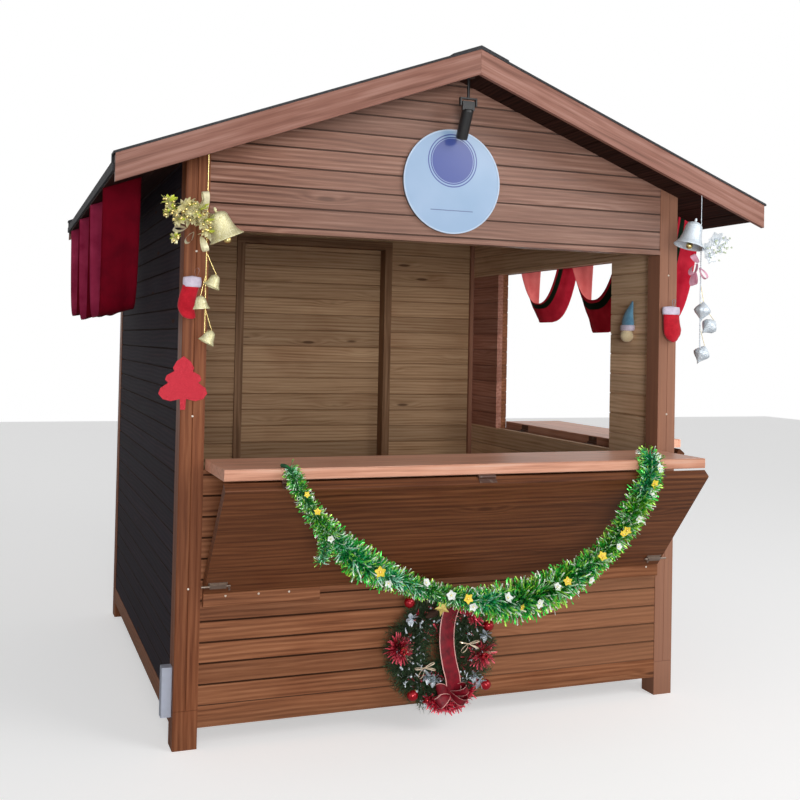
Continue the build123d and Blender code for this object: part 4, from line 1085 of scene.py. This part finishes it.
def ballStamp(radius, finishIndex, capIndex):
    form = bmesh.new()
    bmesh.ops.create_uvsphere(form, u_segments=24, v_segments=14, radius=radius)
    for face in form.faces:
        face.material_index = finishIndex
    cap = [(0.0, radius * 1.12), (radius * 0.2, radius * 1.12), (radius * 0.22, radius * 0.96)]
    form.from_mesh(spunStamp(cap, 12, capIndex))
    return stampOf(form)


def bendAlong(form, track, rows, facing, finishIndex, placeOf, closed=False):
    # a grid with a column at each point of a track, bent by placeOf(column, side, across) and pressed in
    steps = len(track) - 1
    strip = newGrid(steps, rows)
    for v in strip.verts:
        k = round((v.co.x + 0.5) * steps)
        ahead = (track[min(k + 1, steps)] - track[max(k - 1, 0)]).normalized()
        v.co = placeOf(k, v.co.y, ahead.cross(facing).normalized())
    if closed:
        bmesh.ops.remove_doubles(strip, verts=strip.verts, dist=0.00004)
        bmesh.ops.holes_fill(strip, edges=[e for e in strip.edges if e.is_boundary], sides=24)
        bmesh.ops.recalc_face_normals(strip, faces=strip.faces)
    press(form, stampOf(strip, finishIndex), Matrix.Identity(4))


def layRibbon(form, track, wide, finishIndex):
    # a flat ribbon along a track, facing forward, a little hollow across
    facing = Vector((0, -1, 0))
    bendAlong(form, track, 4, facing, finishIndex, lambda k, side, across:
              track[k] + across * side * wide + facing * (0.25 - side ** 2) * wide * 0.24)


def starStamp(radius, thick, finishIndex):
    form = bmesh.new()
    bmesh.ops.create_circle(form, segments=10, radius=radius)
    form.verts.ensure_lookup_table()
    for v in list(form.verts)[1::2]:
        v.co *= 0.45
    made = bmesh.ops.extrude_edge_only(form, edges=form.edges[:])
    for v in (g for g in made["geom"] if isinstance(g, bmesh.types.BMVert)):
        v.co = Vector((0, 0, thick))
    bmesh.ops.remove_doubles(form, verts=form.verts, dist=0.00001)
    bmesh.ops.holes_fill(form, edges=[e for e in form.edges if e.is_boundary], sides=12)
    bmesh.ops.recalc_face_normals(form, faces=form.faces)
    return stampOf(form, finishIndex, False)


def makeNeedles():
    look = wreath
    dice = random.Random(look["seed"])
    needle = stripStamp(0.0030, 0.030, 1, lambda t: (1 - 0.7 * t, 0, 0))
    twigForm = newForm()
    twigForm.from_mesh(stripStamp(0.0035, 0.086, 2, lambda t: (1 - 0.5 * t, 0.004 * t * t, 0)))
    for k in range(15):
        out = Vector((math.cos(k * evenTurn), math.sin(k * evenTurn), 0.8))
        press(twigForm, needle, aim(Vector((0, 0, 0.008 + 0.0052 * k)), out, k, 1.0 - 0.02 * k))
    twig = stampOf(twigForm)
    form = newForm()
    centre = hut(look["x"], look["y"], look["z"])
    for k in range(look["twigs"]):
        angle = dice.random() * math.tau
        roundRing = dice.uniform(-0.35, math.pi + 0.35)
        normal = spoke(angle) * math.cos(roundRing) - Vector((0, 1, 0)) * math.sin(roundRing)
        flow = Vector((-math.sin(angle), 0, math.cos(angle))) * dice.uniform(-1.1, 1.1)
        place = centre + spoke(angle) * look["ring"] + normal * 0.010
        press(form, twig, aim(place, normal + flow, dice.random() * 6, dice.uniform(0.62, 1.12)))
    # a few darker twigs in the hole
    twigFaces = len(form.faces)
    for k in range(look["hole"]):
        angle, away = k * evenTurn, 0.050 * math.sqrt(k / look["hole"])
        place = centre + Vector((-0.045 + away * math.cos(angle), -0.012,
                                 0.005 + away * math.sin(angle) * 1.3))
        press(form, twig, aim(place, spoke(angle, -0.5), k, 0.5))
    form.faces.ensure_lookup_table()
    for face in form.faces[twigFaces:]:
        face.material_index = 2
    wallFace = hut(0, -1, 0).y
    for v in form.verts:
        v.co.y = min(v.co.y, wallFace)
    # dark rod of bound stems in the middle of the needles
    ring = bmesh.new()
    bmesh.ops.create_circle(ring, segments=12, radius=0.030,
                            matrix=Matrix.Translation((look["ring"], 0, 0)) @ turned(math.pi / 2, "X"))
    bmesh.ops.spin(ring, geom=ring.verts[:] + ring.edges[:], cent=(0, 0, 0), axis=(0, 0, 1), angle=math.tau,
                   steps=48, use_merge=True)
    bmesh.ops.remove_doubles(ring, verts=ring.verts, dist=0.00001)
    bmesh.ops.recalc_face_normals(ring, faces=ring.faces)
    press(form, stampOf(ring, 1), Matrix.Translation(centre) @ turned(math.pi / 2, "X"))
    newPiece("wreath_needles", form, [needleGreen, twigBrown, coreGreen], ["wreath"])


def front(x, z, ahead=0):
    # a place on the wreath's face, or ahead of it, in hut millimetres
    return hut(x, wreath["front"] - ahead, z)


def tieBalls(form, dice):
    for x, z, radius in wreath["balls"]:
        press(form, ballStamp(radius / 1000, 0, 2), Matrix.Translation(front(x, z, -6))
              @ turned(dice.uniform(-0.6, 0.6), "Y"))


def tiePoms(form, dice):
    # two pompoms of foil strips with a few beads in the middle
    strips = wreath["pomStrips"]
    strand, goldStrand = (stripStamp(0.012, 0.060, 3, lambda t: (1 - 0.75 * t * t, 0.010 * t * t, 0.9 * t),
                                     index) for index in (1, 4))
    bead = ballStamp(0.0055, 0, 2)
    for x, z, radius in wreath["poms"]:
        for k in range(strips):
            up = 1 - 1.15 * (k + 0.5) / strips
            flat = math.sqrt(max(0.0, 1 - up * up))
            out = Vector((flat * math.cos(k * evenTurn), -max(up, -0.1) - 0.12,
                          flat * math.sin(k * evenTurn)))
            press(form, goldStrand if k % 13 == 3 else strand,
                  aim(front(x, z, -28), out, dice.random() * 6, radius / 60 * dice.uniform(0.7, 1.08)))
        for k in range(7):
            press(form, bead, Matrix.Translation(front(x + 11 * math.cos(k * evenTurn),
                                                       z + 11 * math.sin(k * evenTurn), 24)))


def tieGlints(form, dice):
    # short foil strips: along two lines and strewn round the ring
    glint, frost = (stripStamp(wide, long, 2, lambda t: (1 - 0.6 * t, 0.006 * t * t, 1.4 * t), index)
                    for wide, long, index in ((0.009, 0.034, 1), (0.010, 0.030, 5)))

    def strew(stamp, place, sizes, ahead=0.0):
        out = Vector((dice.uniform(-1, 1), -ahead - dice.random(), dice.uniform(-1, 1))).normalized()
        press(form, stamp, aim(place, out, dice.random() * 6, dice.uniform(*sizes)))

    for name, ahead, sizes, forward in (("sparkle", 0, (0.7, 1.2), 0.0), ("foot", 4, (0.8, 1.3), 0.2)):
        arc = smoothLine([front(x, z, ahead) for x, z in wreath[name]])
        long = trackLength(arc)
        for k in range(wreath["glints"][name]):
            strew(glint, alongTrack(arc, dice.random() * long)[0], sizes, forward)
    for k in range(wreath["glints"]["frost"]):
        strew(frost, onRing(dice, dice.random() * math.tau, (0.09, 0.21), (-0.004, 0.02)), (0.4, 0.9))
    for k in range(wreath["glints"]["ring"]):
        angle = dice.choice((dice.uniform(3.6, 5.8), dice.random() * math.tau, dice.uniform(1.0, 2.2)))
        strew(glint, onRing(dice, angle, (0.075, 0.205), (-0.004, 0.03)), (0.4, 0.8))


def onRing(dice, angle, reach, deep):
    away = dice.uniform(*reach)
    return front(wreath["x"], wreath["z"]) + Vector((math.cos(angle) * away, dice.uniform(*deep),
                                                     math.sin(angle) * away))


def tieSmallThings(form, dice):
    # star, wire bows, silver leaves, cone and berries
    x, z, radius = wreath["star"]
    press(form, starStamp(radius / 1000, 0.010, 2), aim(front(x, z, 26), Vector((-0.1, -1, 0.05)), 0.4))
    outline = loopStamp(0.0042, 0.046, 0.014, 4)
    for x, z, roll in wreath["wireBows"]:
        for angle in (roll, roll + 2.6, roll + 3.6, roll + 5.6):
            press(form, outline, Matrix.Translation(front(x, z, 14)) @ towards(spoke(angle, -0.25), "Y"))
    silverLeaf = petalStamp(0.021, 0.030, -0.1, 5)
    for x, z in wreath["silver"]:
        for k in range(7):
            out = spoke(k * evenTurn + x, -0.25 - 0.2 * (k % 3))
            press(form, silverLeaf, Matrix.Translation(front(x, z)) @ towards(out))
    cone = aim(front(*wreath["cone"], 4), Vector((0.6, -0.5, 0.5)))
    scale = petalStamp(0.016, 0.018, 0.3, 6, 2)
    for k in range(wreath["scales"]):
        t = k / wreath["scales"]
        wide = 0.014 * math.sin(math.pi * (0.12 + 0.8 * t))
        turn = turned(k * evenTurn, "Z") @ Matrix.Translation((wide * 0.4, 0, t * 0.048)) @ turned(-0.7, "Y")
        press(form, scale, cone @ (turn @ Matrix.Scale(0.6 + 0.5 * math.sin(math.pi * t), 4)))
    berry = ballStamp(0.0048, 5, 5)
    for k in range(wreath["berries"]):
        place = onRing(dice, dice.random() * math.tau, wreath["berryReach"], (-0.012, 0.02))
        press(form, berry, Matrix.Translation(place))


def tieRibbon(form):
    # the ribbon over the wreath and the bow at its foot
    down = smoothLine([front(x, z, 22 + 8 * math.sin(k)) for k, (x, z) in enumerate(wreath["ribbon"])])
    layRibbon(form, down, wreath["ribbonWide"], 3)
    wing = loopStamp(0.046, 0.074, 0.022, 3)
    for angle in wreath["bowAngles"]:
        press(form, wing, Matrix.Translation(front(*wreath["bow"], 18)) @ towards(spoke(angle, -0.45), "Y")
              @ turned(0.6, "X"))
    for ends in wreath["tails"]:
        layRibbon(form, smoothLine([front(x, z, 16) for x, z in ends]), 0.030, 3)


def makeOrnaments():
    dice = random.Random(wreath["seed"] + 1)
    form = newForm()
    tieBalls(form, dice)
    tiePoms(form, dice)
    tieGlints(form, dice)
    tieSmallThings(form, dice)
    tieRibbon(form)
    newPiece("wreath_ornaments", form,
             [redBall, redFoil, starGold, velvet, ribbonEdge, silverGlitter, twigBrown])


makeNeedles()
makeOrnaments()
print("wreath made")


# felt pieces hung on the posts: middle line places are hut millimetres, each with its half width
feltPieces = {
    "stocking_right": {"line": [(2152, -26, 1716), (2153, -26, 1690), (2156, -26, 1640), (2162, -26, 1606),
                                (2170, -26, 1576), (2176, -26, 1562)],
                       "half": [40, 41, 43, 46, 36, 8], "flat": 0.36, "cuff": (1680, 1722)},
    "stocking_left": {"line": [(28, -26, 1764), (26, -26, 1735), (12, -26, 1690), (8, -26, 1650),
                               (24, -26, 1622), (44, -26, 1612)],
                      "half": [30, 31, 31, 34, 28, 6], "flat": 0.42, "cuff": (1722, 1768)},
    "felt_cone": {"line": [(2104, 206, 1752), (2106, 214, 1730), (2106, 238, 1690), (2106, 248, 1640),
                           (2106, 250, 1618)],
                  "half": [4, 16, 30, 42, 36], "flat": 0.5, "cuff": (1610, 1642)}}


def feltCloth(name, tone, fold):
    finish, here = newFinish(name)
    fuzz = here.noise(240.0, 3.0, 0.7)
    shades = (here.noise(34.0) * 0.5 + fuzz * 0.5).ramp((0.3, 0.65), (fold, tone))
    return setShader(finish, {"Base Color": shades, "Roughness": 0.9, "Specular IOR Level": 0.1,
                              "Sheen Weight": 0.25, "Sheen Roughness": 0.5}, (fuzz, 0.5, 0.0012))


redFelt = feltCloth("redFelt", (0.62, 0.018, 0.035), (0.36, 0.006, 0.016))
paleFelt = feltCloth("paleFelt", (0.74, 0.66, 0.78), (0.50, 0.44, 0.56))
blueFelt = feltCloth("blueFelt", (0.16, 0.36, 0.50), (0.08, 0.20, 0.32))
creamFelt = feltCloth("creamFelt", (0.78, 0.66, 0.42), (0.55, 0.44, 0.26))


def tubeAlong(form, track, halves, flat, facing, finishIndex):
    # a soft tube round a track, flattened towards facing, its ends drawn in
    steps = len(track) - 1

    def placeOf(k, side, across):
        turn = (side + 0.5) * math.tau
        at = k / steps * (len(halves) - 1)
        low = min(int(at), len(halves) - 2)
        half = (halves[low] + (halves[low + 1] - halves[low]) * (at - low)) / 1000
        if k in (0, steps):
            half *= 0.05
        return track[k] + (across * math.cos(turn) + facing * math.sin(turn) * flat) * half

    bendAlong(form, track, 18, facing, finishIndex, placeOf, closed=True)


def makeFeltPieces():
    for name, look in feltPieces.items():
        cone = name == "felt_cone"
        form = newForm()
        facing = Vector((-1, 0, 0)) if cone else Vector((0, -1, 0))
        track = smoothLine([hut(*place) for place in look["line"]])
        tubeAlong(form, track, look["half"], look["flat"], facing, 0)
        low, high = look["cuff"]
        endX, endY = look["line"][-1 if cone else 0][:2]
        wide = look["half"][-2 if cone else 0] + 5
        band = smoothLine([hut(endX, endY, z) for z in (high, (high + low) / 2, low)])
        tubeAlong(form, band, [wide - 3, wide, wide, wide - 3], look["flat"] * 1.12, facing, 1)
        if cone:
            press(form, ballStamp(0.031, 2, 2), Matrix.Translation(hut(2104, endY, 1590)))
        else:
            # a loop to hang it by
            press(form, loopStamp(0.006, 0.036, 0.010, 1),
                  Matrix.Translation(hut(endX + 16, -20, high - 4)) @ towards(Vector((0.1, 0, 1))))
        newPiece(name, form, [blueFelt, paleFelt, creamFelt] if cone else [redFelt, paleFelt])


makeFeltPieces()
print("felt pieces hung")


# screw heads in the posts and the ledgers, in hut millimetres across and up
screws = {"post": [(46, 1863), (46, 1243), (46, 598), (2154, 1860), (2154, 1240), (2154, 600)],
          "ledgers": [(182, 570), (309, 570), (428, 570), (1706, 572), (1838, 572), (2042, 573)],
          "head": 0.0042}
screwZinc = metalFinish("screwZinc", (0.66, 0.60, 0.52), 0.35, 0.8, (0.25, 0.14, 0.08), 0.5, 300.0)


def driveScrews():
    form = bmesh.new()
    head = screws["head"]
    screw = spunStamp([(0.0, 0.0006), (head * 0.35, 0.0006), (head * 0.42, 0.0013), (head * 0.9, 0.0011),
                       (head, 0.0), (head * 0.96, -0.0012)], 14)
    for group, face in (("post", 0.0), ("ledgers", (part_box("ledgers")[0].y - hutCorner.y) * 1000)):
        for x, z in screws[group]:
            press(form, screw, aim(hut(x, face, z), Vector((0, -1, 0))))
    newPiece("screw_heads", form, [screwZinc])


driveScrews()
print("screws driven")

# pale floor and soft lights: place, size and power of each lamp
studio = {"fill": 0.26, "floorGlow": 0.46,
          "lamps": {"keyLamp": ((4.2, -6.0, 4.6), 4.5, 190), "frontLamp": ((-2.2, -9.8, 2.0), 3.4, 430)}}


def setStage():
    form = bmesh.new()
    bmesh.ops.create_grid(form, x_segments=1, y_segments=1, size=15)
    data = bpy.data.meshes.new("stageFloor")
    form.to_mesh(data)
    form.free()
    floor = bpy.data.objects.new("stageFloor", data)
    bpy.context.scene.collection.objects.link(floor)
    finish = newFinish("stagePale")[0]
    seen = put(finish.node_tree, "LightPath", {}, out="Is Camera Ray")
    data.materials.append(setShader(finish, {
        "Base Color": (0.80, 0.80, 0.80, 1), "Roughness": 0.8, "Specular IOR Level": 0.1,
        "Emission Color": (1, 1, 1, 1), "Emission Strength": seen * studio["floorGlow"]}))
    world = bpy.data.worlds.new("studio")
    bpy.context.scene.world = world
    world.use_nodes = True
    tree = world.node_tree
    tree.nodes.clear()
    camera, glossy, through = (put(tree, "LightPath", {}, out=f"Is {kind} Ray")
                               for kind in ("Camera", "Glossy", "Transmission"))
    seen = camera.calc("MAXIMUM", glossy.calc("MAXIMUM", through))
    glow = seen * (1 - studio["fill"]) + studio["fill"]
    back = put(tree, "Background", {"Color": (1, 1, 1, 1), "Strength": glow})
    feed(tree.nodes.new("ShaderNodeOutputWorld").inputs["Surface"], back)
    for name, (place, size, power) in studio["lamps"].items():
        lampData = bpy.data.lights.new(name, "AREA")
        lampData.shape = "DISK"
        lampData.size = size
        lampData.energy = power
        lamp = bpy.data.objects.new(name, lampData)
        lamp.location = place
        lamp.rotation_euler = (Vector((0, 0, 1.2)) - Vector(place)).to_track_quat("-Z", "Y").to_euler()
        bpy.context.scene.collection.objects.link(lamp)


setStage()
for data in [data for data in bpy.data.meshes if data.name.startswith("stamp")]:
    bpy.data.meshes.remove(data)
bpy.context.scene.view_settings.view_transform = "Standard"
print("stage set")
